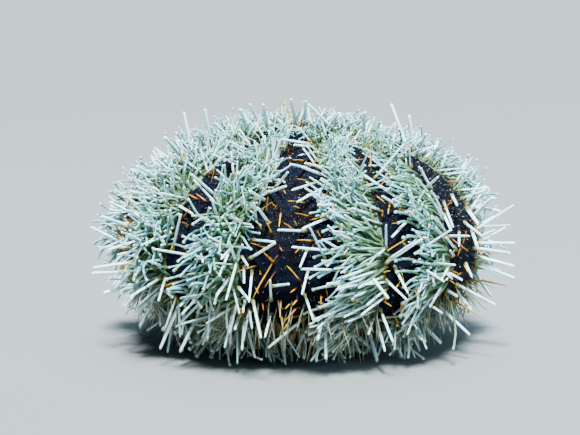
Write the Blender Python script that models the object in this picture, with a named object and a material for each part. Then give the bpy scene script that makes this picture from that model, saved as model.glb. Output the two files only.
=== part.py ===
"""A collector urchin, life size, standing on its lower spines.

The shell is turned as one dome and parted by thin radial cuts into the ten fields that a
zoologist names: five ambulacra, which carry the tube feet, and five interambulacra between
them. A crown plate closes the top. The mouth membrane, with five teeth, closes the underside.

Each ambulacrum has a bare dark band down its middle and a strip of white spines and tube feet
on either side. Each interambulacrum has a wide dark band with short orange spines and a few
white ones, and a row of white spines along both edges. The first interambulacrum faces -Y.
Units are metres, +Z is up and the floor is at zero.
"""

import math
import random
from dataclasses import dataclass

import bmesh
import bpy
import numpy as np
from mathutils import Matrix, Vector

# The shell
SHELL_RADIUS = 0.050
CROWN_RISE = 0.035
BASE_DROP = 0.0205
FLOOR_GAP = 0.0065
BASE_SQUARENESS = 0.80
MOUTH_HOLLOW = 0.0016
MOUTH_HOLLOW_SPREAD = 0.017

# The fields, and the cuts that part them
FIELD_PAIRS = 5
AMBULACRUM_ANGLE = math.radians(40)
INTERAMBULACRUM_ANGLE = math.radians(32)
FIRST_FIELD_ANGLE = math.radians(-90)
PARTING_GAP = 0.0003
FIELD_ROWS = 15
FIELD_STEPS = 4

# The crown plate and the mouth
CROWN_RADIUS = 0.0070
CROWN_DEPTH = 0.0030
VENT_RADIUS = 0.0030
VENT_MOUTH_RADIUS = 0.0018
VENT_RISE = 0.0009
MOUTH_RADIUS = 0.0120
MOUTH_DEPTH = 0.0060
LIP_RADIUS = 0.0056
LIP_RISE = 0.0010
THROAT_RADIUS = 0.0044
THROAT_DEPTH = 0.0040
TURNED_SIDES = 24

# The teeth
TOOTH_COUNT = 5
TOOTH_LENGTH = 0.0052
TOOTH_ROOT_RADIUS = 0.0010
TOOTH_TIP_RADIUS = 0.0003
TOOTH_ROOT_PLACE = 0.0024
TOOTH_TIP_PLACE = 0.0010

# The bands, as angles from the middle of a field
NARROW_BAND = math.radians(5.5)
WIDE_BAND = math.radians(12.5)

# Rows of spines, a step apart along the shell and wider apart beneath
UNDERSIDE_TURN = math.radians(122)
UNDERSIDE_SPREAD = 1.4
WHITE_STEP = 0.0051
SCATTERED_STEP = 0.0130
ORANGE_STEP = 0.0074
FOOT_STEP = 0.0092
PLACE_JITTER = 0.30
TRIES = 30
SEED = 11
CROWN_SPINES = 9
CROWN_RING_RADIUS = 0.0055

# How long the spines are and how they lean, as shares of their length
CROWN_SHARE = 0.72
FLANK_SHARE = 1.12
LONG_ONES = 0.08
LONG_SHARE = 1.3
LATERAL_LEAN = 0.30
DOWNWARD_LEAN = 0.35
UNDERSIDE_STRAY = 0.55
HANGING_TURN = math.radians(60)
LEAST_BEND = 0.5

# How far the spines reach, and the room between them
ROOT_DEPTH = 0.0016
REACH = 0.0622
TALLEST = 0.0712
TRIM_STEP = 0.0002
LEAST_SHARE = 0.33
STANDING_SLOPE = -0.80
FLOOR_CLEARANCE = 0.0005
FOOT_CLEARANCE = 0.0016
SHELL_CLEARANCE = 0.0009
OWN_GAP = 0.0002
SAMPLE_STEP = 0.0008
NEAR_ENOUGH = 0.030

SKIN_COLOUR = (0.020, 0.022, 0.036, 1.0)
PALE_COLOUR = (0.62, 0.72, 0.64, 1.0)
CROWN_COLOUR = (0.045, 0.038, 0.042, 1.0)
MEMBRANE_COLOUR = (0.20, 0.16, 0.12, 1.0)
TOOTH_COLOUR = (0.82, 0.80, 0.72, 1.0)

WIDEST_HEIGHT = FLOOR_GAP + BASE_DROP


@dataclass(frozen=True)
class Bristle:
    """A sort of spine or tube foot: its sides, radii, lengths, and how far it strays from upright."""

    sides: int
    root_radius: float
    tip_radius: float
    shortest: float
    longest: float
    stray: float
    bend: float = 0.0


WHITE_SPINE = Bristle(4, 0.00064, 0.00046, 0.0090, 0.0128, 0.42)
ORANGE_SPINE = Bristle(3, 0.00052, 0.00026, 0.0050, 0.0088, 0.55)
CROWN_SPINE = Bristle(3, 0.00050, 0.00032, 0.0045, 0.0070, 0.30)
TUBE_FOOT = Bristle(4, 0.00044, 0.00038, 0.0105, 0.0150, 0.40, math.radians(75))
FOOT_DISC_RADIUS = 0.00080
FOOT_DISC_LENGTH = 0.00045
FOOT_STEPS = 2


def shell_slope(turn):
    """The outward direction of the shell at an angle from the top, as radial and vertical shares."""
    rise = CROWN_RISE if turn < math.pi / 2 else BASE_DROP
    squareness = 1.0 if turn < math.pi / 2 else BASE_SQUARENESS
    power = 2 / squareness
    share = math.sin(turn) ** squareness
    return Vector((power * share ** (power - 1) / SHELL_RADIUS, 2 * math.cos(turn) / rise)).normalized()


def shell_point(turn):
    """Radius and height of the shell at an angle from the top."""
    rise = CROWN_RISE if turn < math.pi / 2 else BASE_DROP
    squareness = 1.0 if turn < math.pi / 2 else BASE_SQUARENESS
    radius = SHELL_RADIUS * math.sin(turn) ** squareness
    height = WIDEST_HEIGHT + rise * math.cos(turn)
    if turn > math.pi / 2:
        height += MOUTH_HOLLOW * math.exp(-((radius / MOUTH_HOLLOW_SPREAD) ** 2))
    return Vector((radius, height))


def height_over_shell(points):
    """How far points lie off the shell, from the value and the slope of its equation."""
    radius = np.hypot(points[:, 0], points[:, 1])
    height = points[:, 2] - WIDEST_HEIGHT
    rise = np.where(height > 0, CROWN_RISE, BASE_DROP)
    power = np.where(height > 0, 2.0, 2 / BASE_SQUARENESS)
    value = (radius / SHELL_RADIUS) ** power + (height / rise) ** 2
    across = power * (radius / SHELL_RADIUS) ** (power - 1) / SHELL_RADIUS
    along = 2 * height / rise**2
    return (value - 1) / np.hypot(across, along)


def shell_turn(radius, start, stop):
    """The angle from the top, between two angles, where the shell has a given radius."""
    for _ in range(50):
        middle = (start + stop) / 2
        if (shell_point(middle)[0] < radius) == (shell_point(start)[0] < radius):
            start = middle
        else:
            stop = middle
    return (start + stop) / 2


CROWN_TURN = shell_turn(CROWN_RADIUS + PARTING_GAP, 0.001, math.pi / 2)
MOUTH_TURN = shell_turn(MOUTH_RADIUS + PARTING_GAP, math.pi / 2, math.pi - 0.001)


@dataclass(frozen=True)
class Field:
    """One of the ten fields of the shell: its name, number, middle and width as angles."""

    name: str
    number: int
    centre: float
    angle: float

    def shift(self):
        """How far the field moves out along its middle, which leaves each cut half its gap."""
        way = Vector((math.cos(self.centre), math.sin(self.centre), 0))
        return way * (PARTING_GAP / 2 / math.sin(self.angle / 2))

    def inside(self, points):
        """How far points lie inside the field's side walls and its seats for crown and mouth."""
        local = points - np.array(self.shift())
        radius = np.hypot(local[:, 0], local[:, 1])
        off = np.arctan2(local[:, 1], local[:, 0]) - self.centre
        off = np.abs((off + math.pi) % math.tau - math.pi)
        wall = radius * np.sin(np.clip(self.angle / 2 - off, -math.pi / 2, math.pi / 2))
        seat = np.where(local[:, 2] > WIDEST_HEIGHT, CROWN_RADIUS, MOUTH_RADIUS) + PARTING_GAP
        return np.minimum(wall, radius - seat)


@dataclass(frozen=True)
class Crown:
    """The crown plate as a place where spines grow."""

    number: int

    def shift(self):
        """The crown plate stands on the axis."""
        return Vector((0, 0, 0))

    def inside(self, points):
        """How far points lie inside the plate's rim."""
        return CROWN_RADIUS - np.hypot(points[:, 0], points[:, 1])


@dataclass(frozen=True)
class Stance:
    """Where one bristle stands: the root on the shell, its first direction, bend and length."""

    sort: Bristle
    root: Vector
    way: Vector
    bend_way: Vector
    bend: float
    length: float

    def point(self, distance):
        """The middle of the bristle at a distance from its root, on a straight line or an arc."""
        if not self.bend:
            return self.root + self.way * distance
        radius = self.length / self.bend
        angle = distance / radius
        return self.root + radius * (math.sin(angle) * self.way + (1 - math.cos(angle)) * self.bend_way)

    def heading(self, distance):
        """The direction of the bristle at a distance from its root."""
        angle = self.bend * distance / self.length
        return math.cos(angle) * self.way + math.sin(angle) * self.bend_way

    def samples(self):
        """Points along the middle, from the sunk root to the tip."""
        span = self.length + ROOT_DEPTH
        count = math.ceil(span / SAMPLE_STEP) + 1
        return np.array([self.point(span * step / (count - 1) - ROOT_DEPTH) for step in range(count)])

    def radii(self, count):
        """The radius at each of that many samples, with the disc of a tube foot at its tip."""
        radii = np.full(count, self.sort.root_radius)
        if self.bend:
            radii[-2:] = FOOT_DISC_RADIUS
        return radii


class Thicket:
    """The spines and tube feet set so far, as points along their middles."""

    def __init__(self):
        self.points = np.empty((0, 3))
        self.radii = np.empty(0)
        self.owners = np.empty(0, int)

    def admit(self, stance, field):
        """Keeps a bristle if it is clear of the neighbouring fields and of all set before it."""
        points = stance.samples()
        radii = stance.radii(len(points))
        over = height_over_shell(points)
        if np.any((field.inside(points) < radii) & (over < radii + SHELL_CLEARANCE)):
            return False
        near = np.linalg.norm(self.points - points[0], axis=1) < NEAR_ENOUGH
        gaps = np.where(self.owners[near] == field.number, OWN_GAP, PARTING_GAP)
        needed = ((self.radii[near] + gaps)[:, None] + radii) ** 2 + SAMPLE_STEP**2 / 2
        apart = self.points[near][:, None] - points[None]
        if np.any(np.sum(apart**2, axis=2) < needed):
            return False
        self.points = np.concatenate((self.points, points))
        self.radii = np.concatenate((self.radii, radii))
        self.owners = np.concatenate((self.owners, np.full(len(points), field.number)))
        return True


def size_at(turn):
    """How long spines are there: shortest on the crown, longest on the lower flank."""
    if turn < math.pi / 2:
        return CROWN_SHARE + (1 - CROWN_SHARE) * math.sin(turn)
    return 1 + (FLANK_SHARE - 1) * math.sin(2 * (turn - math.pi / 2)) ** 2


def stance_on(field, turn, angle, sort, side_lean, draw):
    """Draws one bristle at a place on the shell, or None where it would not fit."""
    radius, height = shell_point(turn)
    outward, upward = shell_slope(turn)
    flat = Vector((math.cos(angle), math.sin(angle), 0))
    root = flat * radius + Vector((0, 0, height)) + field.shift()
    normal = flat * outward + Vector((0, 0, upward))
    east = Vector((-math.sin(angle), math.cos(angle), 0))
    down = flat * upward + Vector((0, 0, -outward))
    stray = sort.stray * (UNDERSIDE_STRAY if turn > UNDERSIDE_TURN else 1.0)
    sideways = draw.gauss(side_lean, stray)
    downways = draw.gauss(DOWNWARD_LEAN * math.sin(turn) ** 2, stray)
    way = (normal + east * sideways + down * downways).normalized()
    long_one = LONG_SHARE if draw.random() < LONG_ONES else 1.0
    length = draw.uniform(sort.shortest, sort.longest) * size_at(turn) * long_one
    bend = sort.bend * draw.uniform(LEAST_BEND, 1.0)
    swing = east * draw.gauss(0, 1) + down * (1.0 if turn > HANGING_TURN else draw.gauss(0, 1))
    bend_way = (swing - way * swing.dot(way)).normalized()
    return fitted(Stance(sort, root, way, bend_way, bend, length))


def fitted(stance):
    """Shortens a bristle that reaches too far out or up, and one that would slant into the floor."""
    length = stance.length
    rim = stance.sort.tip_radius
    while stance.point(length).xy.length > REACH - rim or stance.point(length).z > TALLEST - rim:
        length -= TRIM_STEP
    if not stance.bend and stance.way.z < 0:
        to_floor = -stance.root.z / stance.way.z
        if stance.way.z > STANDING_SLOPE:
            length = min(length, to_floor + (FLOOR_CLEARANCE + stance.sort.root_radius) / stance.way.z)
        elif length > to_floor - FLOOR_CLEARANCE:
            length = to_floor + 2 * stance.sort.root_radius
    if length < stance.sort.shortest * LEAST_SHARE:
        return None
    bend = stance.bend * length / stance.length
    short = Stance(stance.sort, stance.root, stance.way, stance.bend_way, bend, length)
    if bend and short.samples()[:, 2].min() < FOOT_CLEARANCE:
        return None
    return short


def row_turns(step):
    """Angles from the top of rows a step apart along the shell, and wider apart beneath."""
    turns = np.linspace(CROWN_TURN, MOUTH_TURN, 400)
    points = np.array([shell_point(turn) for turn in turns])
    gaps = np.linalg.norm(np.diff(points, axis=0), axis=1)
    gaps[turns[1:] > UNDERSIDE_TURN] /= UNDERSIDE_SPREAD
    travel = np.concatenate(([0], np.cumsum(gaps)))
    count = int(travel[-1] / step)
    return np.interp((np.arange(count) + 0.5) * travel[-1] / count, travel, turns)


def grow(field, thicket, sort, inner, outer, step, side_lean, draw):
    """Sets bristles in rows and columns on both sides of a field's middle, between two angles."""
    grown = []
    for turn in row_turns(step):
        spread = UNDERSIDE_SPREAD if turn > UNDERSIDE_TURN else 1.0
        columns = max(1, round(shell_point(turn)[0] * (outer - inner) / (step * spread)))
        for number in range(2 * columns):
            side = 1 if number % 2 else -1
            column = (number // 2 + 0.5) / columns
            for _ in range(TRIES):
                share = column + draw.uniform(-PLACE_JITTER, PLACE_JITTER) / columns
                angle = field.centre + side * (inner + (outer - inner) * share)
                slip = draw.uniform(-PLACE_JITTER, PLACE_JITTER) * step / SHELL_RADIUS
                at = min(max(turn + slip, CROWN_TURN), MOUTH_TURN)
                stance = stance_on(field, at, angle, sort, side * side_lean, draw)
                if stance and thicket.admit(stance, field):
                    grown.append(stance)
                    break
    return grown


def grow_on_crown(crown, thicket, draw):
    """A ring of short spines near the crown plate's rim."""
    grown = []
    turn = shell_turn(CROWN_RING_RADIUS, 0.001, math.pi / 2)
    for index in range(CROWN_SPINES):
        stance = stance_on(crown, turn, math.tau * index / CROWN_SPINES, CROWN_SPINE, 0.0, draw)
        if stance and thicket.admit(stance, crown):
            grown.append(stance)
    return grown


def new_material(name, colour, roughness):
    """A plain finish with the given base colour."""
    material = bpy.data.materials.new(name)
    material.use_nodes = True
    shader = material.node_tree.nodes["Principled BSDF"]
    shader.inputs["Base Color"].default_value = colour
    shader.inputs["Roughness"].default_value = roughness
    material.diffuse_color = colour
    return material


def place(name, form, collection, material=None):
    """Adds the form as a named object with its faces pointing out."""
    bmesh.ops.remove_doubles(form, verts=form.verts, dist=1e-6)
    bmesh.ops.recalc_face_normals(form, faces=form.faces)
    mesh = bpy.data.meshes.new(name)
    form.to_mesh(mesh)
    form.free()
    if material:
        mesh.materials.append(material)
    thing = bpy.data.objects.new(name, mesh)
    collection.objects.link(thing)
    return thing


def spine_form(stance):
    """A tapered spine, cut level where it stands on the floor."""
    form = bmesh.new()
    span = stance.length + ROOT_DEPTH
    middle = stance.point(stance.length - span / 2)
    turn = stance.way.to_track_quat("Z", "Y").to_matrix().to_4x4()
    bmesh.ops.create_cone(
        form, cap_ends=True, segments=stance.sort.sides, radius1=stance.sort.root_radius,
        radius2=stance.sort.tip_radius, depth=span, matrix=Matrix.Translation(middle) @ turn,
    )
    if stance.point(stance.length).z < stance.sort.tip_radius:
        geometry = form.verts[:] + form.edges[:] + form.faces[:]
        bmesh.ops.bisect_plane(form, geom=geometry, plane_co=(0, 0, 0), plane_no=(0, 0, -1), clear_outer=True)
        bmesh.ops.holes_fill(form, edges=form.edges)
    return form


def foot_form(stance):
    """A tube foot: a stem turned along its arc from the sunk root, with a disc at its tip."""
    form = bmesh.new()
    sort = stance.sort
    radius = stance.length / stance.bend
    turn = stance.heading(-ROOT_DEPTH).to_track_quat("Z", "Y").to_matrix().to_4x4()
    frame = Matrix.Translation(stance.point(-ROOT_DEPTH)) @ turn
    bmesh.ops.create_circle(form, cap_ends=True, segments=sort.sides, radius=sort.root_radius, matrix=frame)
    spun = bmesh.ops.spin(
        form, geom=form.faces[:], cent=stance.root + stance.bend_way * radius,
        axis=stance.way.cross(stance.bend_way), angle=stance.bend + ROOT_DEPTH / radius, steps=FOOT_STEPS,
    )
    face = next(piece for piece in spun["geom_last"] if isinstance(piece, bmesh.types.BMFace))
    tip = bmesh.ops.extrude_face_region(form, geom=[face])
    bmesh.ops.delete(form, geom=[face], context="FACES_ONLY")
    ring = [piece for piece in tip["geom"] if isinstance(piece, bmesh.types.BMVert)]
    bmesh.ops.translate(form, verts=ring, vec=stance.heading(stance.length) * FOOT_DISC_LENGTH)
    middle = sum((vert.co for vert in ring), Vector()) / len(ring)
    flare = FOOT_DISC_RADIUS / sort.root_radius
    bmesh.ops.scale(form, verts=ring, vec=(flare, flare, flare), space=Matrix.Translation(-middle))
    return form


def keep_largest(mesh):
    """Leaves only the largest of a mesh's separate surfaces."""
    form = bmesh.new()
    form.from_mesh(mesh)
    left = set(form.verts)
    surfaces = []
    while left:
        front = {left.pop()}
        surface = set(front)
        while front:
            front = {edge.other_vert(vert) for vert in front for edge in vert.link_edges} - surface
            surface |= front
        left -= surface
        surfaces.append(surface)
    largest = max(surfaces, key=len)
    bmesh.ops.delete(form, geom=[vert for vert in form.verts if vert not in largest], context="VERTS")
    form.to_mesh(mesh)
    form.free()


def fuse(body, stances):
    """Joins a body and its bristles into one closed surface."""
    pieces = bpy.data.collections.new("bristles")
    bpy.context.scene.collection.children.link(pieces)
    for stance in stances:
        place("bristle", foot_form(stance) if stance.bend else spine_form(stance), pieces)
    union = body.modifiers.new("bristles", "BOOLEAN")
    union.operation = "UNION"
    union.operand_type = "COLLECTION"
    union.collection = pieces
    union.solver = "EXACT"
    graph = bpy.context.evaluated_depsgraph_get()
    fused = bpy.data.meshes.new_from_object(body.evaluated_get(graph))
    body.modifiers.clear()
    body.data = fused
    for piece in list(pieces.objects):
        bpy.data.objects.remove(piece, do_unlink=True)
    bpy.data.collections.remove(pieces)
    keep_largest(body.data)


def field_outline():
    """The section of one field: the shell outside, the two plug seats, and the axis."""
    rows = [CROWN_TURN + (MOUTH_TURN - CROWN_TURN) * row / FIELD_ROWS for row in range(FIELD_ROWS + 1)]
    outside = [tuple(shell_point(turn)) for turn in rows]
    top = shell_point(CROWN_TURN)[1] - CROWN_DEPTH
    bottom = shell_point(MOUTH_TURN)[1] + MOUTH_DEPTH
    return outside + [
        (MOUTH_RADIUS + PARTING_GAP, bottom), (0, bottom), (0, top), (CROWN_RADIUS + PARTING_GAP, top),
    ]


def build_field(field, material, collection):
    """One field of the shell, moved out along its middle so that the cuts have even gaps."""
    form = turned_wedge(field_outline(), field.centre - field.angle / 2, field.angle, FIELD_STEPS)
    bmesh.ops.translate(form, verts=form.verts, vec=field.shift())
    return place(field.name, form, collection, material)


def turned_wedge(outline, start, angle, steps):
    """Turns a closed outline of (radius, height) points about the vertical axis through an angle."""
    form = bmesh.new()
    way = Matrix.Rotation(start, 4, "Z")
    ring = [form.verts.new(way @ Vector((radius, 0, height))) for radius, height in outline]
    face = form.faces.new(ring)
    bmesh.ops.spin(form, geom=[face], cent=(0, 0, 0), axis=(0, 0, 1), angle=angle, steps=steps)
    return form


def turned_round(outline, steps):
    """Turns an outline that starts and ends on the vertical axis all the way round."""
    form = bmesh.new()
    ring = [form.verts.new((radius, 0, height)) for radius, height in outline]
    edges = [form.edges.new(pair) for pair in zip(ring, ring[1:])]
    bmesh.ops.spin(
        form, geom=ring + edges, cent=(0, 0, 0), axis=(0, 0, 1),
        angle=math.tau, steps=steps, use_merge=True,
    )
    return form


def build_crown(material, collection):
    """The crown plate with the low cone of the vent at its centre."""
    seat = shell_point(CROWN_TURN)[1] - CROWN_DEPTH + PARTING_GAP
    rim = shell_point(shell_turn(CROWN_RADIUS, 0.001, math.pi / 2))[1]
    top = shell_point(0.0)[1]
    outline = [
        (0, seat), (CROWN_RADIUS, seat), (CROWN_RADIUS, rim), (VENT_RADIUS, top),
        (VENT_MOUTH_RADIUS, top + VENT_RISE), (0, top + VENT_RISE),
    ]
    return place("crown_plate", turned_round(outline, TURNED_SIDES), collection, material)


def build_mouth(material, collection):
    """The mouth membrane: a disc in the underside with a raised lip round the throat."""
    face = shell_point(MOUTH_TURN)[1]
    seat = face + MOUTH_DEPTH - PARTING_GAP
    outline = [
        (0, face + THROAT_DEPTH), (THROAT_RADIUS, face + THROAT_DEPTH), (THROAT_RADIUS, face - LIP_RISE / 2),
        (LIP_RADIUS, face - LIP_RISE), (LIP_RADIUS + LIP_RISE, face), (MOUTH_RADIUS, face),
        (MOUTH_RADIUS, seat), (0, seat),
    ]
    return place("mouth_membrane", turned_round(outline, TURNED_SIDES), collection, material)


def build_tooth(index, material, collection):
    """One tooth: a tapered bar that hangs in the throat and leans in to the axis."""
    top = shell_point(MOUTH_TURN)[1] + THROAT_DEPTH - PARTING_GAP
    angle = FIRST_FIELD_ANGLE + math.tau * (index + 0.5) / TOOTH_COUNT
    form = bmesh.new()
    bmesh.ops.create_cone(
        form, cap_ends=True, segments=4, radius1=TOOTH_TIP_RADIUS, radius2=TOOTH_ROOT_RADIUS,
        depth=TOOTH_LENGTH, matrix=Matrix.Translation((0, 0, top - TOOTH_LENGTH / 2)),
    )
    for vert in form.verts:
        share = (top - vert.co.z) / TOOTH_LENGTH
        vert.co.x += TOOTH_ROOT_PLACE + (TOOTH_TIP_PLACE - TOOTH_ROOT_PLACE) * share
    bmesh.ops.rotate(form, verts=form.verts, cent=(0, 0, 0), matrix=Matrix.Rotation(angle, 3, "Z"))
    return place(f"tooth_{index + 1}", form, collection, material)


def main():
    """Clears the scene and builds every part."""
    for old in list(bpy.data.objects):
        bpy.data.objects.remove(old, do_unlink=True)
    collection = bpy.data.collections.new("collector_urchin")
    bpy.context.scene.collection.children.link(collection)
    skin = new_material("dark_skin", SKIN_COLOUR, 0.55)
    pale = new_material("pale_field", PALE_COLOUR, 0.5)
    top_skin = new_material("crown_skin", CROWN_COLOUR, 0.5)
    membrane = new_material("mouth_skin", MEMBRANE_COLOUR, 0.5)
    tooth = new_material("tooth", TOOTH_COLOUR, 0.35)

    interambulacra = []
    ambulacra = []
    for index in range(FIELD_PAIRS):
        centre = FIRST_FIELD_ANGLE + math.tau * index / FIELD_PAIRS
        beside = centre + math.pi / FIELD_PAIRS
        interambulacra.append(Field(f"interambulacrum_{index + 1}", 2 * index, centre, INTERAMBULACRUM_ANGLE))
        ambulacra.append(Field(f"ambulacrum_{index + 1}", 2 * index + 1, beside, AMBULACRUM_ANGLE))
    crown = Crown(2 * FIELD_PAIRS)

    draw = random.Random(SEED)
    thicket = Thicket()
    crown_stances = grow_on_crown(crown, thicket, draw)
    grown = {}
    for field in ambulacra:
        rim = field.angle / 2
        grown[field] = grow(field, thicket, TUBE_FOOT, NARROW_BAND, rim, FOOT_STEP, 0.0, draw)
    for field in interambulacra:
        rim = field.angle / 2
        grown[field] = grow(field, thicket, WHITE_SPINE, WIDE_BAND, rim, WHITE_STEP, -LATERAL_LEAN, draw)
        grown[field] += grow(field, thicket, WHITE_SPINE, 0.0, WIDE_BAND, SCATTERED_STEP, 0.0, draw)
        grown[field] += grow(field, thicket, ORANGE_SPINE, 0.0, WIDE_BAND, ORANGE_STEP, 0.0, draw)
    for field in ambulacra:
        rim = field.angle / 2
        grown[field] += grow(field, thicket, WHITE_SPINE, NARROW_BAND, rim, WHITE_STEP, 0.0, draw)
        grown[field] += grow(field, thicket, ORANGE_SPINE, 0.0, NARROW_BAND, ORANGE_STEP, 0.0, draw)

    for field, stances in grown.items():
        fuse(build_field(field, pale if field in ambulacra else skin, collection), stances)
    fuse(build_crown(top_skin, collection), crown_stances)
    build_mouth(membrane, collection)
    for index in range(TOOTH_COUNT):
        build_tooth(index, tooth, collection)


main()
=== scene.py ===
"""A collector urchin, life size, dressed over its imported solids.

One skin takes the place of the ten fields of the shell. It is near black where the shell is bare
and sage green in the ten strips that carry the tube feet. White spines, yellow-orange spines,
tube feet, tiny pincers and gills grow from it, each sort as joined meshes, one mesh to a fifth of
the animal. A crown disc with its plates closes the top, and a wrinkled mouth membrane with five
teeth closes the underside.

Units are metres, +Z is up, the floor is at zero and the first bare band faces -Y.
"""

import logging
import math
from collections.abc import Callable
from dataclasses import dataclass, fields
from enum import Enum

import bpy
import numpy as np
from numpy.typing import NDArray
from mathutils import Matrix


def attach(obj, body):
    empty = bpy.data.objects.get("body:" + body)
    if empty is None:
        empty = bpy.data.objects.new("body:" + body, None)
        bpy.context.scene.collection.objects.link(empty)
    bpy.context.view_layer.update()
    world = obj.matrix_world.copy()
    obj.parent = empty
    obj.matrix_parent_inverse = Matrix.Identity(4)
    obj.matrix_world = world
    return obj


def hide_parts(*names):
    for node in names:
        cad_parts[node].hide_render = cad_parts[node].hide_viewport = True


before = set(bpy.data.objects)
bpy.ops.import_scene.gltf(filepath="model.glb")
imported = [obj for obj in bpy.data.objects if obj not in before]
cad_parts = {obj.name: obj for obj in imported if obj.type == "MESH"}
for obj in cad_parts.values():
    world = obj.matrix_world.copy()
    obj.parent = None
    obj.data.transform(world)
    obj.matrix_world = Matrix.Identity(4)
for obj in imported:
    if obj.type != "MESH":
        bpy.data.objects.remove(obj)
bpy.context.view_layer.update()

Array = NDArray[np.float64]
Colour = tuple[float, float, float]
Pixel = tuple[float, float]
Seen = tuple[tuple[Pixel, Pixel], ...]
Socket = bpy.types.NodeSocket

LOG = logging.getLogger("urchin")
BODY = "root"

FIELD_PAIRS = 5
FIELD_STEP = math.tau / FIELD_PAIRS
FIRST_FIELD = math.radians(-90)

BAKE_MAP = "OFBake"
BAKE_PATCH = 0.003
BAKE_RIM = 0.004
LENGTH_MAP = "lengthways"
TINT = "tint"
STRIP = "strip"

TRAVEL_SAMPLES = 800
RING_SAMPLES = 1500
RAY_SAMPLES = 1500
TURN_SAMPLES = 2000
POLE_GAP = 0.01
SWAY_TURNS = 1.5
RING_SHARE = 0.87
JITTER = 0.36
ANYWHERE = 99.0


def unit(vectors: Array) -> Array:
    """Scales vectors along the last axis to length one."""
    return vectors / np.maximum(np.linalg.norm(vectors, axis=-1, keepdims=True), 1e-12)


def smooth_step(value: Array, low: float, high: float) -> Array:
    """Rises smoothly from 0 at low to 1 at high: 3s^2 - 2s^3 of the clipped share s."""
    share = np.clip((value - low) / (high - low), 0.0, 1.0)
    return share * share * (3.0 - 2.0 * share)


def bell(value: Array, spread: float) -> Array:
    """A bell curve that is 1 at zero: the exponential of minus the square of value over spread."""
    return np.exp(-((value / spread) ** 2))


def polar(radius: Array, azimuth: Array, height: Array) -> Array:
    """Points at a radius and an angle round the axis, at a height."""
    return np.stack((radius * np.cos(azimuth), radius * np.sin(azimuth), height), axis=-1)


def way_along(radius: Array, height: Array) -> Array:
    """The distance walked along an outline, from zero at its first point."""
    return np.concatenate(([0.0], np.cumsum(np.hypot(np.diff(radius), np.diff(height)))))


def round_angles(rows: int, columns: int) -> Array:
    """Angles round the axis for a grid, the same in each of its rows."""
    return np.linspace(0.0, math.tau, columns, endpoint=False) * np.ones((rows, 1))


class Sort(Enum):
    """The sorts of bristle that grow on the skin."""

    WHITE_SPINE = "white_spines"
    BASE_SPINE = "base_spines"
    ORANGE_SPINE = "orange_spines"
    TUBE_FOOT = "tube_feet"
    PINCER = "pincers"
    GILL = "gills"


@dataclass(frozen=True)
class PhotoView:
    """The viewing angle, lens and framing of the photograph, which is 580 by 435 pixels."""

    width: float = 580.0
    height: float = 435.0
    azimuth: float = math.radians(3.0)
    elevation: float = math.radians(8.0)
    lens: float = 100.0
    sensor: float = 36.0
    pixels_per_metre: float = 3470.0
    floor_pixel: Pixel = (302.0, 340.0)

    def axes(self) -> tuple[Array, Array, Array]:
        """The view's right, up and back directions."""
        turn, lift = self.azimuth, self.elevation
        right = np.array((math.cos(turn), math.sin(turn), 0.0))
        back = np.array((math.sin(turn) * math.cos(lift), -math.cos(turn) * math.cos(lift), math.sin(lift)))
        return right, np.cross(back, right), back

    def distance(self) -> float:
        """How far the lens is from the plane that has the given scale."""
        return self.lens * self.width / (self.sensor * self.pixels_per_metre)

    def target(self) -> Array:
        """The point in the middle of the picture, on the plane through the animal's axis."""
        right, up, _ = self.axes()
        across = (self.width / 2 - self.floor_pixel[0]) / self.pixels_per_metre
        above = (self.floor_pixel[1] - self.height / 2) / self.pixels_per_metre
        return right * across + up * above

    def eye(self) -> Array:
        """Where the camera stands."""
        return self.target() + self.axes()[2] * self.distance()

    def rays(self, pixels: Array) -> Array:
        """Directions from the eye through pixels of the photograph.

        Args:
            pixels: Columns of pixel places, counted from the top left corner.

        Returns:
            One unit vector a row.
        """
        right, up, back = self.axes()
        across = (pixels[:, :1] - self.width / 2) / self.pixels_per_metre
        above = (self.height / 2 - pixels[:, 1:]) / self.pixels_per_metre
        return unit(right * across + up * above - back * self.distance())


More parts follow.
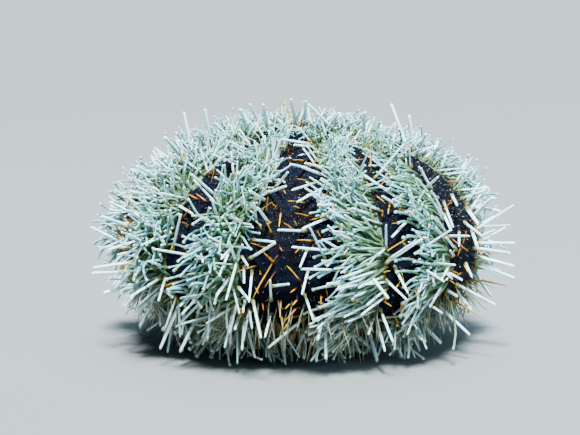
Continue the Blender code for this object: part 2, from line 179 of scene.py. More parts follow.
@dataclass(frozen=True)
class Shell:
    """The dome that everything grows on, turned about the vertical axis."""

    radius: float = 0.050
    crown_rise: float = 0.035
    base_drop: float = 0.0205
    floor_gap: float = 0.0065
    squareness: float = 0.80
    mouth_hollow: float = 0.0016
    hollow_spread: float = 0.017
    crown_radius: float = 0.0070
    mouth_radius: float = 0.0120

    def parts_at(self, turn: Array) -> tuple[Array, Array]:
        """The rise and the squareness that hold at angles from the top."""
        upper = turn < math.pi / 2
        return np.where(upper, self.crown_rise, self.base_drop), np.where(upper, 1.0, self.squareness)

    def section(self, turn: Array) -> tuple[Array, Array]:
        """The shell's outline.

        The radius is the widest radius times the sine of the turn to the power of the squareness.
        The height is the widest height plus the rise times the cosine, and the underside is drawn
        up round the mouth by a bell curve.

        Args:
            turn: Angles from the top.

        Returns:
            Radii and heights.
        """
        rise, squareness = self.parts_at(turn)
        radius = self.radius * np.clip(np.sin(turn), 0.0, 1.0) ** squareness
        hollow = self.mouth_hollow * bell(radius, self.hollow_spread)
        height = self.floor_gap + self.base_drop + rise * np.cos(turn)
        return radius, height + np.where(turn < math.pi / 2, 0.0, hollow)

    def slope(self, turn: Array) -> tuple[Array, Array]:
        """Radial and vertical shares of the outward direction, from the gradient of the outline."""
        rise, squareness = self.parts_at(turn)
        power = 2.0 / squareness
        share = np.clip(np.sin(turn), 1e-6, 1.0) ** squareness
        outward = power * share ** (power - 1.0) / self.radius
        upward = 2.0 * np.cos(turn) / rise
        size = np.hypot(outward, upward)
        return outward / size, upward / size

    def place(self, turn: Array, azimuth: Array) -> Array:
        """Points of the shell at angles from the top and round the axis."""
        radius, height = self.section(turn)
        return polar(radius, azimuth, height)

    def axes(self, turn: Array, azimuth: Array) -> tuple[Array, Array, Array]:
        """The outward, eastward and downslope directions at places on the shell."""
        outward, upward = self.slope(turn)
        east = np.stack((-np.sin(azimuth), np.cos(azimuth), np.zeros_like(azimuth)), axis=-1)
        return polar(outward, azimuth, upward), east, polar(upward, azimuth, -outward)

    def travel(self, turn: Array) -> Array:
        """The share of the way from crown to mouth, measured along the outline."""
        table = np.linspace(0.0, math.pi, TRAVEL_SAMPLES)
        way = way_along(*self.section(table))
        return np.interp(turn, table, way / way[-1])

    def turn_below(self, radius: float) -> float:
        """The angle from the top where the underside of the shell has a given radius."""
        table = np.linspace(math.pi / 2, math.pi - POLE_GAP, TURN_SAMPLES)
        return float(table[np.argmin(np.abs(self.section(table)[0] - radius))])

    def turn_of(self, points: Array) -> Array:
        """Angles from the top of points that lie on the shell."""
        share = np.hypot(points[:, 0], points[:, 1]) / self.radius
        height = points[:, 2] - self.floor_gap - self.base_drop
        upper = np.arctan2(share, height / self.crown_rise)
        lower = np.arctan2(share ** (1.0 / self.squareness), height / self.base_drop)
        return np.where(height > 0.0, upper, lower)

    def struck(self, eye: Array, ways: Array) -> Array:
        """Where rays first meet the shell, or pass closest to it.

        Each ray is sampled, and the first sample where the outline's equation falls below one is
        taken. A ray that misses takes the sample where it is least.

        Args:
            eye: Where the rays start.
            ways: One unit direction a row.

        Returns:
            One point a row.
        """
        away = np.linalg.norm(eye)
        along = np.linspace(away - 2.0 * self.radius, away + self.radius, RAY_SAMPLES)
        points = eye + ways[:, None, :] * along[None, :, None]
        height = points[..., 2] - self.floor_gap - self.base_drop
        rise = np.where(height > 0.0, self.crown_rise, self.base_drop)
        power = np.where(height > 0.0, 2.0, 2.0 / self.squareness)
        share = np.hypot(points[..., 0], points[..., 1]) / self.radius
        value = share**power + (height / rise) ** 2
        inside = value < 1.0
        first = np.where(inside.any(axis=1), inside.argmax(axis=1), value.argmin(axis=1))
        return points[np.arange(len(ways)), first]


@dataclass(frozen=True)
class Bands:
    """The bare dark bands: a wide one down each interambulacrum, a narrow one between two."""

    wide: float = math.radians(16.8)
    narrow: float = math.radians(7.8)
    crown_share: float = 0.58
    narrow_until: float = math.radians(25.0)
    full_from: float = math.radians(85.0)
    crown_spread: float = math.radians(9.0)
    crown_reach: float = math.radians(17.0)
    inner_edge: tuple[float, float] = (-0.10, 0.12)
    outer_edge: tuple[float, float] = (0.88, 1.10)

    def offset(self, azimuth: Array) -> Array:
        """The signed angle from the nearest wide band's middle."""
        return (azimuth - FIRST_FIELD + FIELD_STEP / 2) % FIELD_STEP - FIELD_STEP / 2

    def fifth(self, azimuth: Array) -> Array:
        """The number, from 0, of the nearest wide band."""
        return np.round((azimuth - FIRST_FIELD) / FIELD_STEP).astype(int) % FIELD_PAIRS

    def across_strip(self, turn: Array, azimuth: Array) -> Array:
        """The place in a strip: 0 at the wide band's edge, 1 at the narrow's, beyond on the bands.

        The bands take fewer degrees towards the crown, the narrow ones less so, and spread again
        at its rim.
        """
        grown = smooth_step(turn, self.narrow_until, self.full_from)
        share = self.crown_share + (1.0 - self.crown_share) * grown
        spread = self.crown_spread * bell(turn, self.crown_reach)
        inner = self.wide * share + spread
        outer = FIELD_STEP / 2 - self.narrow * (1.0 + share) / 2 - spread / 3
        return (np.abs(self.offset(azimuth)) - inner) / (outer - inner)

    def paleness(self, turn: Array, azimuth: Array) -> Array:
        """1 on the strips, 0 on the bands, with a soft edge."""
        place = self.across_strip(turn, azimuth)
        return smooth_step(place, *self.inner_edge) * (1.0 - smooth_step(place, *self.outer_edge))


@dataclass
class Batch:
    """Bristles of one sort, one row of every array to a bristle."""

    root: Array
    way: Array
    curl_way: Array
    curl: Array
    sway: Array
    length: Array
    girth: Array
    turn: Array
    azimuth: Array
    tint: Array

    def __len__(self) -> int:
        """How many bristles there are."""
        return len(self.length)

    def kept(self, mask: Array) -> "Batch":
        """The bristles that a mask picks."""
        return Batch(*(getattr(self, part.name)[mask] for part in fields(self)))

    def joined(self, other: "Batch") -> "Batch":
        """These bristles and others."""
        pairs = ((getattr(self, part.name), getattr(other, part.name)) for part in fields(self))
        return Batch(*(np.concatenate(pair) for pair in pairs))

    def centres(self, share: Array) -> Array:
        """Points on the middle lines.

        Each middle line is an arc that leaves the root along the way and turns through the curl
        towards the curl's direction. The sway moves it sideways by a sine of the share.

        Args:
            share: Shares of the length, one row to a bristle.

        Returns:
            Points, by bristle and share.
        """
        curl = np.maximum(np.abs(self.curl), 1e-4)[:, None]
        reach = self.length[:, None] / curl
        ahead = reach * np.sin(curl * share)
        aside = reach * (1.0 - np.cos(curl * share))
        side = np.cross(self.way, self.curl_way)
        drift = (self.sway * self.length)[:, None] * share * np.sin(math.pi * SWAY_TURNS * share)
        return (
            self.root[:, None]
            + ahead[..., None] * self.way[:, None]
            + aside[..., None] * self.curl_way[:, None]
            + drift[..., None] * side[:, None]
        )

    def headings(self, share: Array) -> Array:
        """Unit directions of the middle lines, from points a little before and after."""
        step = 0.01
        return unit(self.centres(share + step) - self.centres(share - step))


@dataclass(frozen=True)
class Limits:
    """How far bristles may reach, and how near the floor they may come."""

    reach: float = 0.0618
    tallest: float = 0.0710
    floor: float = 0.0003
    shrink: float = 0.95
    rounds: int = 26
    least_share: float = 0.30
    tested: int = 6
    tested_from: float = 0.3

    def fitted(self, batch: Batch) -> Batch:
        """Shortens bristles step by step until they keep within the limits, and drops mere stubs."""
        first_length = batch.length.copy()
        tested = np.linspace(self.tested_from, 1.0, self.tested)
        share = np.broadcast_to(tested, (len(batch), self.tested))
        for _ in range(self.rounds):
            points = batch.centres(share)
            far = np.hypot(points[..., 0], points[..., 1]).max(axis=1) > self.reach - batch.girth
            high = points[..., 2].max(axis=1) > self.tallest - batch.girth
            low = points[..., 2].min(axis=1) < self.floor + batch.girth
            change = np.where(far | high | low, self.shrink, 1.0)
            batch.length = batch.length * change
            batch.curl = batch.curl * change
        points = batch.centres(share)
        clear = points[..., 2].min(axis=1) > self.floor
        return batch.kept(clear & (batch.length > self.least_share * first_length))


@dataclass(frozen=True)
class Profile:
    """The outline of a bristle: radii at shares of its length, and the slant of its tip."""

    sides: int
    shares: tuple[float, ...]
    radii: tuple[float, ...]
    slant: float = 0.0
    root_depth: float = 0.0009

    def points(self, batch: Batch) -> tuple[Array, Array]:
        """Carries the outline's rings along the middle lines.

        Each ring is a circle of the profile's radius, square to the middle line. A slant moves the
        last two rings' points along the line by the slant times the radius times the cosine.

        Args:
            batch: The bristles.

        Returns:
            Points by bristle, ring and side, and each ring's share of the length.
        """
        share = np.broadcast_to(np.array(self.shares), (len(batch), len(self.shares))).copy()
        share[:, 0] = -self.root_depth / batch.length
        centre = batch.centres(share)
        heading = batch.headings(share)
        side = unit(np.cross(batch.way, batch.curl_way))[:, None]
        other = unit(np.cross(side, heading))
        side = np.cross(heading, other)
        angle = math.tau * np.arange(self.sides) / self.sides + batch.tint[:, None] * math.tau
        radius = batch.girth[:, None] * np.array(self.radii)
        cosine = np.cos(angle)[:, None, :, None]
        sine = np.sin(angle)[:, None, :, None]
        circle = cosine * other[:, :, None] + sine * side[:, :, None]
        points = centre[:, :, None] + radius[:, :, None, None] * circle
        points[:, -2:] += radius[:, -2:, None, None] * self.slant * cosine * heading[:, -2:, None]
        return points, share


def fill_mesh(name: str, points: Array, corners: Array, sizes: Array, smooth: Array) -> bpy.types.Mesh:
    """Makes a mesh of whole arrays.

    Args:
        name: The mesh's name.
        points: One vertex a row.
        corners: The vertex of each face corner, face after face.
        sizes: The number of corners of each face.
        smooth: Whether each face is shaded smooth.

    Returns:
        The mesh, with its edges worked out.
    """
    mesh = bpy.data.meshes.new(name)
    mesh.vertices.add(len(points))
    mesh.vertices.foreach_set("co", points.astype(np.float32).ravel())
    mesh.loops.add(len(corners))
    mesh.loops.foreach_set("vertex_index", corners.astype(np.int32).ravel())
    mesh.polygons.add(len(sizes))
    starts = np.concatenate(([0], np.cumsum(sizes)[:-1]))
    mesh.polygons.foreach_set("loop_start", starts.astype(np.int32))
    mesh.polygons.foreach_set("use_smooth", smooth.astype(bool))
    mesh.update(calc_edges=True)
    return mesh


def add_map(mesh: bpy.types.Mesh, name: str, places: Array) -> None:
    """Adds a UV map with one place to a face corner."""
    mesh.uv_layers.new(name=name).uv.foreach_set("vector", places.astype(np.float32).ravel())


def add_value(mesh: bpy.types.Mesh, name: str, values: Array) -> None:
    """Adds a number to every vertex."""
    holder = mesh.attributes.new(name, "FLOAT", "POINT")
    holder.data.foreach_set("value", values.astype(np.float32).ravel())


def add_object(name: str, data: bpy.types.ID) -> bpy.types.Object:
    """Puts an object with its mesh, light or camera into the scene."""
    thing = bpy.data.objects.new(name, data)
    bpy.context.scene.collection.objects.link(thing)
    return thing


def aim_at(thing: bpy.types.Object, right: Array, up: Array, back: Array, place: Array) -> None:
    """Sets an object's axes and place."""
    columns = np.eye(4)
    columns[:, :3] = np.stack((right, up, back, place))
    thing.matrix_world = columns.tolist()


def piece_of(mesh: bpy.types.Mesh, material: bpy.types.Material) -> bpy.types.Object:
    """Puts a mesh into the scene as a piece that rides on the animal's one body."""
    mesh.materials.append(material)
    piece = add_object(mesh.name, mesh)
    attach(piece, BODY)
    LOG.info("%s: %d faces", mesh.name, len(mesh.polygons))
    return piece


def grid_corners(rows: int, columns: int) -> Array:
    """Corners of the quads of a grid that closes round its columns, facing out for rows that go down."""
    row, column = np.meshgrid(np.arange(rows - 1), np.arange(columns), indexing="ij")
    beside = (column + 1) % columns
    quads = np.stack((row * columns + column, (row + 1) * columns + column,
                      (row + 1) * columns + beside, row * columns + beside), axis=-1)
    return quads.reshape(-1, 4)


def turned_mesh(name: str, points: Array) -> bpy.types.Mesh:
    """Closes a grid of points, by row from the top pole to the bottom one and round the axis.

    The first and the last row are each drawn together into one pole and joined by triangles.

    Args:
        name: The mesh's name.
        points: Points by row and column. Every point of the first and last row is the same.

    Returns:
        The closed mesh.
    """
    rows, columns = points.shape[:2]
    body = points[1:-1].reshape(-1, 3)
    quads = grid_corners(rows - 2, columns)
    top, bottom = len(body), len(body) + 1
    column = np.arange(columns)
    beside = (column + 1) % columns
    last = (rows - 3) * columns
    roof = np.stack((np.full(columns, top), column, beside), axis=-1)
    base = np.stack((np.full(columns, bottom), last + beside, last + column), axis=-1)
    corners = np.concatenate((quads.ravel(), roof.ravel(), base.ravel()))
    sizes = np.concatenate((np.full(len(quads), 4), np.full(2 * columns, 3)))
    vertices = np.concatenate((body, points[0, :1], points[-1, :1]))
    return fill_mesh(name, vertices, corners, sizes, np.ones(len(sizes)))


def bristle_mesh(name: str, batch: Batch, profile: Profile, shell: Shell) -> bpy.types.Mesh:
    """Joins bristles into one mesh, with both ends of each closed.

    The map for patterns runs round and along every bristle. The map for baking puts every bristle
    into a small patch at its root's place, on an unwrap of the shell by angle and travel.

    Args:
        name: The mesh's name.
        batch: The bristles.
        profile: Their outline.
        shell: What they grow on.

    Returns:
        The mesh.
    """
    points, share = profile.points(batch)
    count, rings, sides = points.shape[:3]
    base = (np.arange(count) * rings * sides)[:, None, None]
    ring, side = np.meshgrid(np.arange(rings - 1), np.arange(sides), indexing="ij")
    beside = (side + 1) % sides
    quads = np.stack((ring * sides + side, ring * sides + beside,
                      (ring + 1) * sides + beside, (ring + 1) * sides + side), axis=-1)
    quad_corners = (base[..., None] + quads[None]).reshape(-1)
    cap = np.stack((np.arange(sides)[::-1], (rings - 1) * sides + np.arange(sides)))
    cap_corners = (base + cap[None]).reshape(-1)
    sizes = np.concatenate((np.full(count * len(quads.reshape(-1, 4)), 4), np.full(2 * count, sides)))
    smooth = np.concatenate((np.ones(count * len(quads.reshape(-1, 4))), np.zeros(2 * count)))
    mesh = fill_mesh(name, points.reshape(-1, 3), np.concatenate((quad_corners, cap_corners)), sizes, smooth)

    along = np.clip(share, 0.0, 1.0)
    quad_round = np.stack((side, side + 1, side + 1, side), axis=-1) / sides
    quad_round = np.broadcast_to(quad_round[None], (count, *quad_round.shape))
    quad_along = np.stack((along[:, :-1], along[:, :-1], along[:, 1:], along[:, 1:]), axis=-1)
    quad_along = np.broadcast_to(quad_along[:, :, None, :], quad_round.shape)
    cap_round = np.broadcast_to((cap % sides) / sides, (count, *cap.shape))
    cap_along = np.broadcast_to(np.array((0.0, 1.0))[None, :, None], cap_round.shape)
    around = np.concatenate((quad_round.ravel(), cap_round.ravel()))
    lengthways = np.concatenate((quad_along.ravel(), cap_along.ravel()))
    add_map(mesh, LENGTH_MAP, np.stack((around, lengthways), axis=-1))

    root = np.stack(((batch.azimuth / math.tau) % 1.0, shell.travel(batch.turn)), axis=-1)
    root = np.clip(root, BAKE_RIM, 1.0 - BAKE_RIM)
    owner = np.concatenate((np.repeat(np.arange(count), quads.size), np.repeat(np.arange(count), cap.size)))
    patch = (np.stack((around, lengthways), axis=-1) - 0.5) * BAKE_PATCH
    add_map(mesh, BAKE_MAP, root[owner] + patch)
    add_value(mesh, TINT, np.repeat(batch.tint, rings * sides))
    return mesh


def rings_round(shell: Shell, pitch: float, start: float, stop: float,
                random: np.random.Generator) -> tuple[Array, Array]:
    """Scatters places over the shell, about a pitch apart, in jittered rings.

    Args:
        shell: The shell.
        pitch: The distance between neighbours.
        start: The first ring's angle from the top.
        stop: The last ring's.
        random: The seeded source of chance.

    Returns:
        Angles from the top and round the axis.
    """
    table = np.linspace(start, stop, RING_SAMPLES)
    radius, height = shell.section(table)
    way = way_along(radius, height)
    ring_gap = pitch * RING_SHARE
    turns, azimuths = [], []
    for number, at in enumerate(np.arange(ring_gap / 2, way[-1], ring_gap)):
        ring_radius = float(np.interp(at, way, radius))
        count = max(3, round(math.tau * ring_radius / pitch))
        column = np.arange(count) + 0.5 * (number % 2) + random.uniform(-JITTER, JITTER, count)
        azimuths.append(column * math.tau / count)
        turns.append(np.interp(at + random.uniform(-JITTER, JITTER, count) * pitch, way, table))
    return np.concatenate(turns), np.concatenate(azimuths) % math.tau


@dataclass(frozen=True)
class Drift:
    """A smooth random field over the animal, so that neighbours lean alike."""

    seed: int
    wavelength: float
    waves: int = 6

    def at(self, points: Array) -> Array:
        """The sum of sine waves in random directions, scaled to about one."""
        random = np.random.default_rng(self.seed)
        ways = unit(random.normal(size=(self.waves, 3))) * (math.tau / self.wavelength)
        phases = random.uniform(0.0, math.tau, self.waves)
        return np.sin(points @ ways.T + phases).sum(axis=1) / math.sqrt(self.waves / 2)


@dataclass(frozen=True)
class Comb:
    """A place where the photograph shows the bristles lying to one side.

    Angles are in degrees, round the axis, from the top, and for how far the combing spreads.
    """

    azimuth: float
    turn: float
    spread: float
    eastward: float
    downward: float

    def weight(self, turn: Array, azimuth: Array) -> Array:
        """A bell curve of the angle between the places and the comb's own."""
        across = (azimuth - math.radians(self.azimuth) + math.pi) % math.tau - math.pi
        away = np.hypot(across * np.sin(turn), turn - math.radians(self.turn))
        return bell(away, math.radians(self.spread))


COMBS = (
    Comb(-68, 38, 13, -0.9, -0.1),
    Comb(-67, 64, 14, -2.2, -0.1),
    Comb(-66, 92, 14, -2.3, -0.4),
    Comb(-66, 118, 16, -3.2, -1.3),
    Comb(-38, 58, 15, -2.0, -0.6),
    Comb(-35, 84, 16, -2.6, -0.3),
    Comb(-38, 108, 12, -1.8, -0.1),
    Comb(2, 80, 14, 0.7, -0.5),
    Comb(-112, 40, 12, 0.0, -0.8),
    Comb(-112, 72, 12, 0.3, 0.2),
    Comb(-112, 100, 13, 0.3, 0.5),
    Comb(-119, 50, 8, 1.3, -0.2),
    Comb(-119, 66, 8, 1.0, 0.1),
    Comb(-132, 46, 8, -1.2, -0.3),
    Comb(-140, 70, 14, 0.2, -0.4),
    Comb(-140, 105, 14, -0.5, 0.2),
)
FOOT_COMBS = (
    Comb(-73, 38, 10, 1.6, -0.1),
    Comb(-72, 60, 9, 1.5, -0.1),
    Comb(-108, 78, 10, -0.9, 0.0),
    Comb(-119, 48, 8, 0.8, 0.0),
    Comb(-134, 50, 8, -0.8, 0.0),
    Comb(-124, 98, 11, -1.5, -0.5),
    Comb(-112, 112, 12, -1.3, -0.7),
    Comb(-138, 118, 14, -0.9, -0.6),
    Comb(-52, 112, 12, -1.4, -0.6),
)


@dataclass(frozen=True)
class Habit:
    """How one sort of bristle grows: its sizes, and how it leans, curls and strays."""

    shortest: float
    longest: float
    girth: float
    girth_spread: float
    stray: float
    crown_share: float = 0.75
    flank_share: float = 1.10
    edge_lean: float = 0.0
    drift_lean: float = 0.0
    crown_lean: float = 0.0
    base_lean: float = 0.0
    comb_share: float = 0.0
    curl: float = 0.0
    least_curl: float = 0.4
    sway: float = 0.0
    skew: float = 1.0
    crown_girth: float = 1.0
    drift: Drift = Drift(3, 0.020)
    other_drift: Drift = Drift(103, 0.020)
    combs: tuple[Comb, ...] = COMBS
    strip_reach: float = 0.62
    low_from: float = math.radians(50)
    low_until: float = math.radians(115)
    swing: float = 0.6
    hang: float = 0.9

    def leans(self, bands: Bands, root: Array, turn: Array, azimuth: Array, lowness: Array,
              random: np.random.Generator) -> tuple[Array, Array]:
        """The leans of bristles to the east and down the slope.

        Args:
            bands: The bare bands.
            root: The bristles' roots.
            turn: Angles from the top.
            azimuth: Angles round the axis.
            lowness: How low down each stands, from 0 to 1.
            random: The seeded source of chance.

        Returns:
            Both leans, as shares of the outward direction.
        """
        place = bands.across_strip(turn, azimuth)
        off_middle = np.clip(2.0 * place - 1.0, -1.0, 1.0) * np.sign(bands.offset(azimuth))
        off_middle = np.where(np.abs(place - 0.5) > self.strip_reach, 0.0, off_middle)
        lateral = self.edge_lean * off_middle + self.drift_lean * self.drift.at(root)
        lateral += random.normal(0.0, self.stray, len(turn))
        sloping = self.crown_lean * (1.0 - lowness) * np.sin(turn) + self.base_lean * lowness
        sloping += self.drift_lean * self.other_drift.at(root) + random.normal(0.0, self.stray, len(turn))
        for comb in self.combs:
            pull = self.comb_share * comb.weight(turn, azimuth)
            lateral += pull * comb.eastward
            sloping += pull * comb.downward
        return lateral, sloping

    def grown(self, shell: Shell, bands: Bands, turn: Array, azimuth: Array,
              random: np.random.Generator) -> Batch:
        """Draws one bristle at every place.

        A bristle leaves the skin along the outward direction plus a lean. The lean is the sum of a
        lean off the strip's middle line, a lean down the slope that changes from crown to base, the
        combs' leans where they reach, a drift shared by neighbours, and chance.

        Args:
            shell: The shell.
            bands: The bare bands.
            turn: Angles from the top.
            azimuth: Angles round the axis.
            random: The seeded source of chance.

        Returns:
            The bristles.
        """
        count = len(turn)
        root = shell.place(turn, azimuth)
        normal, east, down = shell.axes(turn, azimuth)
        lowness = smooth_step(turn, self.low_from, self.low_until)
        lateral, sloping = self.leans(bands, root, turn, azimuth, lowness, random)
        way = unit(normal + lateral[:, None] * east + sloping[:, None] * down)
        flatness = np.sin(np.minimum(turn, math.pi / 2)) ** 2
        size = self.crown_share + (1.0 - self.crown_share) * flatness
        stout = self.crown_girth + (1.0 - self.crown_girth) * flatness**3
        below = np.clip(turn - math.pi / 2, 0.0, math.pi / 2)
        size = size + (self.flank_share - 1.0) * np.sin(2.0 * below) ** 2
        share = random.uniform(0.0, 1.0, count) ** self.skew
        length = (self.shortest + (self.longest - self.shortest) * share) * size
        eastward = random.normal(0.0, self.swing, count) + lateral
        downward = random.normal(0.0, self.swing, count) + self.hang * lowness + self.swing * sloping
        swing = eastward[:, None] * east + downward[:, None] * down
        curl_way = unit(swing - (swing * way).sum(axis=1, keepdims=True) * way)
        return Batch(
            root=root, way=way, curl_way=curl_way,
            curl=self.curl * random.uniform(self.least_curl, 1.0, count),
            sway=self.sway * random.normal(0.0, 1.0, count), length=length,
            girth=self.girth * stout * (1.0 + self.girth_spread * random.uniform(-1.0, 1.0, count)),
            turn=turn, azimuth=azimuth, tint=random.uniform(0.0, 1.0, count),
        )


WHITE_HABIT = Habit(
    shortest=0.0074, longest=0.0114, girth=0.00031, girth_spread=0.24, stray=0.46, crown_share=0.52,
    edge_lean=0.10, drift_lean=0.20, crown_lean=0.05, base_lean=0.35, comb_share=0.80, flank_share=1.15,
    crown_girth=0.82,
)
FOOT_HABIT = Habit(
    shortest=0.0070, longest=0.0122, girth=0.00031, girth_spread=0.22, stray=0.34, crown_share=0.56,
    edge_lean=-0.35, drift_lean=0.58, crown_lean=0.0, base_lean=0.30, comb_share=1.0,
    curl=math.radians(100), least_curl=0.12, sway=0.16, flank_share=1.12, crown_girth=0.68,
    combs=COMBS + FOOT_COMBS,
)
SKIRT_HABIT = Habit(
    shortest=0.0060, longest=0.0105, girth=0.00017, girth_spread=0.25, stray=0.24, base_lean=0.50,
    drift_lean=0.15, flank_share=1.15,
)
ORANGE_HABIT = Habit(
    shortest=0.0018, longest=0.0074, girth=0.00018, girth_spread=0.25, stray=0.85, base_lean=0.4,
    curl=math.radians(14), crown_share=0.7, skew=1.9,
)
PINCER_HABIT = Habit(
    shortest=0.0005, longest=0.0013, girth=0.00014, girth_spread=0.30, stray=0.6, crown_share=1.0,
    curl=math.radians(30),
)
GILL_HABIT = Habit(
    shortest=0.0012, longest=0.0024, girth=0.00022, girth_spread=0.2, stray=0.5, curl=math.radians(50),
    flank_share=1.0,
)

WHITE_PROFILE = Profile(
    sides=7, shares=(0.0, 0.030, 0.065, 0.110, 0.55, 0.965, 1.0),
    radii=(1.60, 1.55, 1.28, 1.04, 0.97, 0.82, 0.64), slant=0.35,
)
ORANGE_PROFILE = Profile(
    sides=5, shares=(0.0, 0.03, 0.10, 0.16, 0.65, 1.0), radii=(1.3, 1.25, 1.3, 1.0, 0.80, 0.34),
)
FOOT_PROFILE = Profile(
    sides=5, shares=(0.0, 0.08, 0.30, 0.52, 0.74, 0.93, 0.965, 1.0),
    radii=(1.7, 1.25, 1.05, 0.98, 0.93, 0.90, 1.24, 1.08),
)
PINCER_PROFILE = Profile(
    sides=4, shares=(0.0, 0.55, 0.70, 0.86, 1.0), radii=(0.40, 0.34, 0.95, 0.90, 0.30), root_depth=0.0004,
)
GILL_PROFILE = Profile(sides=5, shares=(0.0, 0.3, 0.7, 0.9, 1.0), radii=(1.0, 0.9, 1.1, 0.9, 0.4))

# Single bristles that the photo shows, as the pixels of root and tip
SEEN_WHITE: Seen = (
    ((304, 231), (278, 230)), ((341, 212), (302, 229)), ((325, 258), (310, 228)), ((332, 251), (292, 247)),
    ((307, 250), (300, 267)), ((337, 270), (301, 269)), ((308, 271), (302, 294)), ((254, 240), (275, 242)),
    ((251, 258), (275, 243)), ((252, 272), (249, 302)), ((244, 266), (244, 283)), ((239, 288), (249, 300)),
    ((271, 299), (270, 280)), ((273, 286), (289, 284)), ((305, 295), (313, 319)), ((316, 152), (274, 162)),
    ((306, 168), (290, 164)), ((325, 176), (302, 167)), ((329, 169), (305, 163)), ((313, 147), (294, 145)),
    ((309, 144), (280, 139)), ((275, 188), (288, 172)), ((268, 193), (286, 186)), ((273, 166), (264, 201)),
    ((264, 200), (250, 191)), ((315, 183), (292, 190)), ((328, 203), (305, 188)), ((325, 187), (297, 202)),
    ((268, 222), (258, 208)), ((256, 220), (254, 203)), ((337, 205), (318, 205)), ((253, 301), (261, 338)),
    ((271, 313), (265, 337)), ((249, 309), (252, 328)), ((245, 300), (243, 312)), ((245, 316), (242, 350)),
    ((238, 319), (235, 329)), ((304, 318), (268, 348)), ((323, 317), (318, 339)), ((306, 331), (304, 358)),
    ((325, 322), (326, 359)), ((386, 248), (386, 225)), ((386, 263), (422, 239)), ((388, 260), (413, 243)),
    ((409, 219), (392, 237)), ((386, 280), (407, 300)), ((371, 276), (388, 298)), ((417, 252), (451, 230)),
    ((444, 215), (451, 230)), ((455, 249), (446, 237)), ((446, 236), (469, 236)), ((424, 269), (445, 282)),
    ((447, 272), (462, 280)), ((456, 284), (496, 305)), ((434, 263), (455, 265)), ((458, 292), (471, 309)),
    ((446, 290), (457, 296)), ((424, 301), (442, 313)), ((435, 303), (470, 335)), ((420, 320), (441, 343)),
    ((466, 264), (472, 277)), ((162, 277), (130, 297)), ((194, 256), (154, 249)), ((189, 297), (180, 306)),
    ((180, 303), (160, 349)), ((199, 314), (180, 352)), ((131, 286), (121, 293)), ((403, 202), (364, 175)),
    ((375, 178), (404, 144)), ((401, 208), (382, 196)), ((205, 175), (227, 154)), ((216, 196), (191, 174)),
    ((173, 250), (181, 214)), ((200, 216), (231, 236)), ((174, 203), (193, 214)), ((183, 158), (165, 137)),
    ((133, 262), (84, 269)), ((133, 272), (92, 273)), ((138, 283), (104, 293)), ((130, 247), (91, 227)),
    ((134, 228), (101, 216)), ((138, 217), (110, 202)), ((142, 208), (115, 190)), ((162, 182), (137, 166)),
    ((193, 155), (184, 112)), ((212, 147), (205, 109)), ((250, 134), (240, 109)), ((262, 131), (250, 104)),
    ((268, 130), (263, 104)), ((408, 151), (391, 104)), ((414, 154), (409, 115)), ((416, 157), (426, 134)),
    ((326, 131), (339, 113)), ((364, 138), (365, 112)), ((335, 131), (308, 104)), ((304, 128), (306, 101)),
    ((297, 128), (291, 99)), ((455, 190), (473, 169)), ((426, 188), (438, 177)), ((444, 203), (453, 227)),
    ((467, 209), (478, 224)), ((465, 223), (481, 235)), ((472, 231), (478, 249)), ((452, 196), (457, 205)),
    ((459, 233), (459, 246)), ((474, 243), (515, 243)), ((472, 232), (514, 205)), ((475, 262), (524, 282)),
    ((475, 256), (521, 268)), ((470, 205), (500, 211)), ((474, 217), (493, 197)), ((474, 248), (510, 253)),
    ((376, 318), (385, 351)), ((380, 309), (393, 342)),
    ((370, 329), (377, 361)), ((393, 335), (408, 366)), ((428, 325), (409, 353)), ((230, 250), (219, 276)),
    ((238, 258), (228, 293)), ((207, 243), (225, 258)), ((199, 246), (203, 262)), ((395, 268), (408, 293)),
)
SEEN_FEET: Seen = (
    ((322, 331), (298, 330)), ((328, 334), (310, 334)), ((347, 308), (303, 314)), ((345, 306), (319, 308)),
    ((332, 341), (313, 344)), ((426, 281), (390, 278)), ((421, 264), (395, 261)), ((421, 275), (396, 272)),
    ((427, 280), (403, 288)), ((429, 284), (407, 289)), ((443, 292), (453, 350)), ((216, 274), (165, 280)),
    ((206, 298), (168, 292)), ((219, 290), (192, 284)), ((153, 287), (173, 298)), ((190, 316), (163, 330)),
    ((225, 328), (174, 333)), ((212, 334), (195, 353)), ((355, 256), (313, 258)), ((352, 276), (309, 279)),
    ((355, 288), (312, 290)), ((360, 303), (318, 308)), ((352, 318), (305, 332)), ((362, 330), (318, 347)),
    ((418, 214), (395, 206)), ((420, 221), (395, 212)), ((422, 231), (398, 223)), ((412, 189), (387, 182)),
    ((415, 203), (401, 196)), ((238, 322), (220, 310)), ((210, 287), (191, 285)), ((200, 294), (167, 290)),
    ((350, 200), (318, 205)), ((352, 212), (322, 216)), ((356, 225), (322, 232)), ((354, 240), (316, 243)),
    ((352, 266), (314, 268)), ((367, 321), (322, 355)), ((405, 320), (380, 334)), ((420, 312), (392, 322)),
    ((206, 335), (190, 343)), ((217, 344), (196, 357)), ((231, 338), (212, 352)), ((226, 342), (211, 358)),
    ((214, 337), (189, 350)), ((232, 330), (206, 341)), ((366, 306), (332, 317)), ((370, 317), (329, 338)),
    ((359, 320), (311, 333)), ((359, 328), (314, 344)), ((371, 313), (332, 352)), ((425, 295), (402, 304)),
    ((429, 308), (404, 322)), ((158, 279), (120, 292)), ((129, 292), (109, 278)), ((138, 233), (124, 206)),
    ((165, 197), (156, 173)), ((213, 231), (183, 243)), ((204, 243), (215, 270)), ((204, 267), (224, 281)),
)
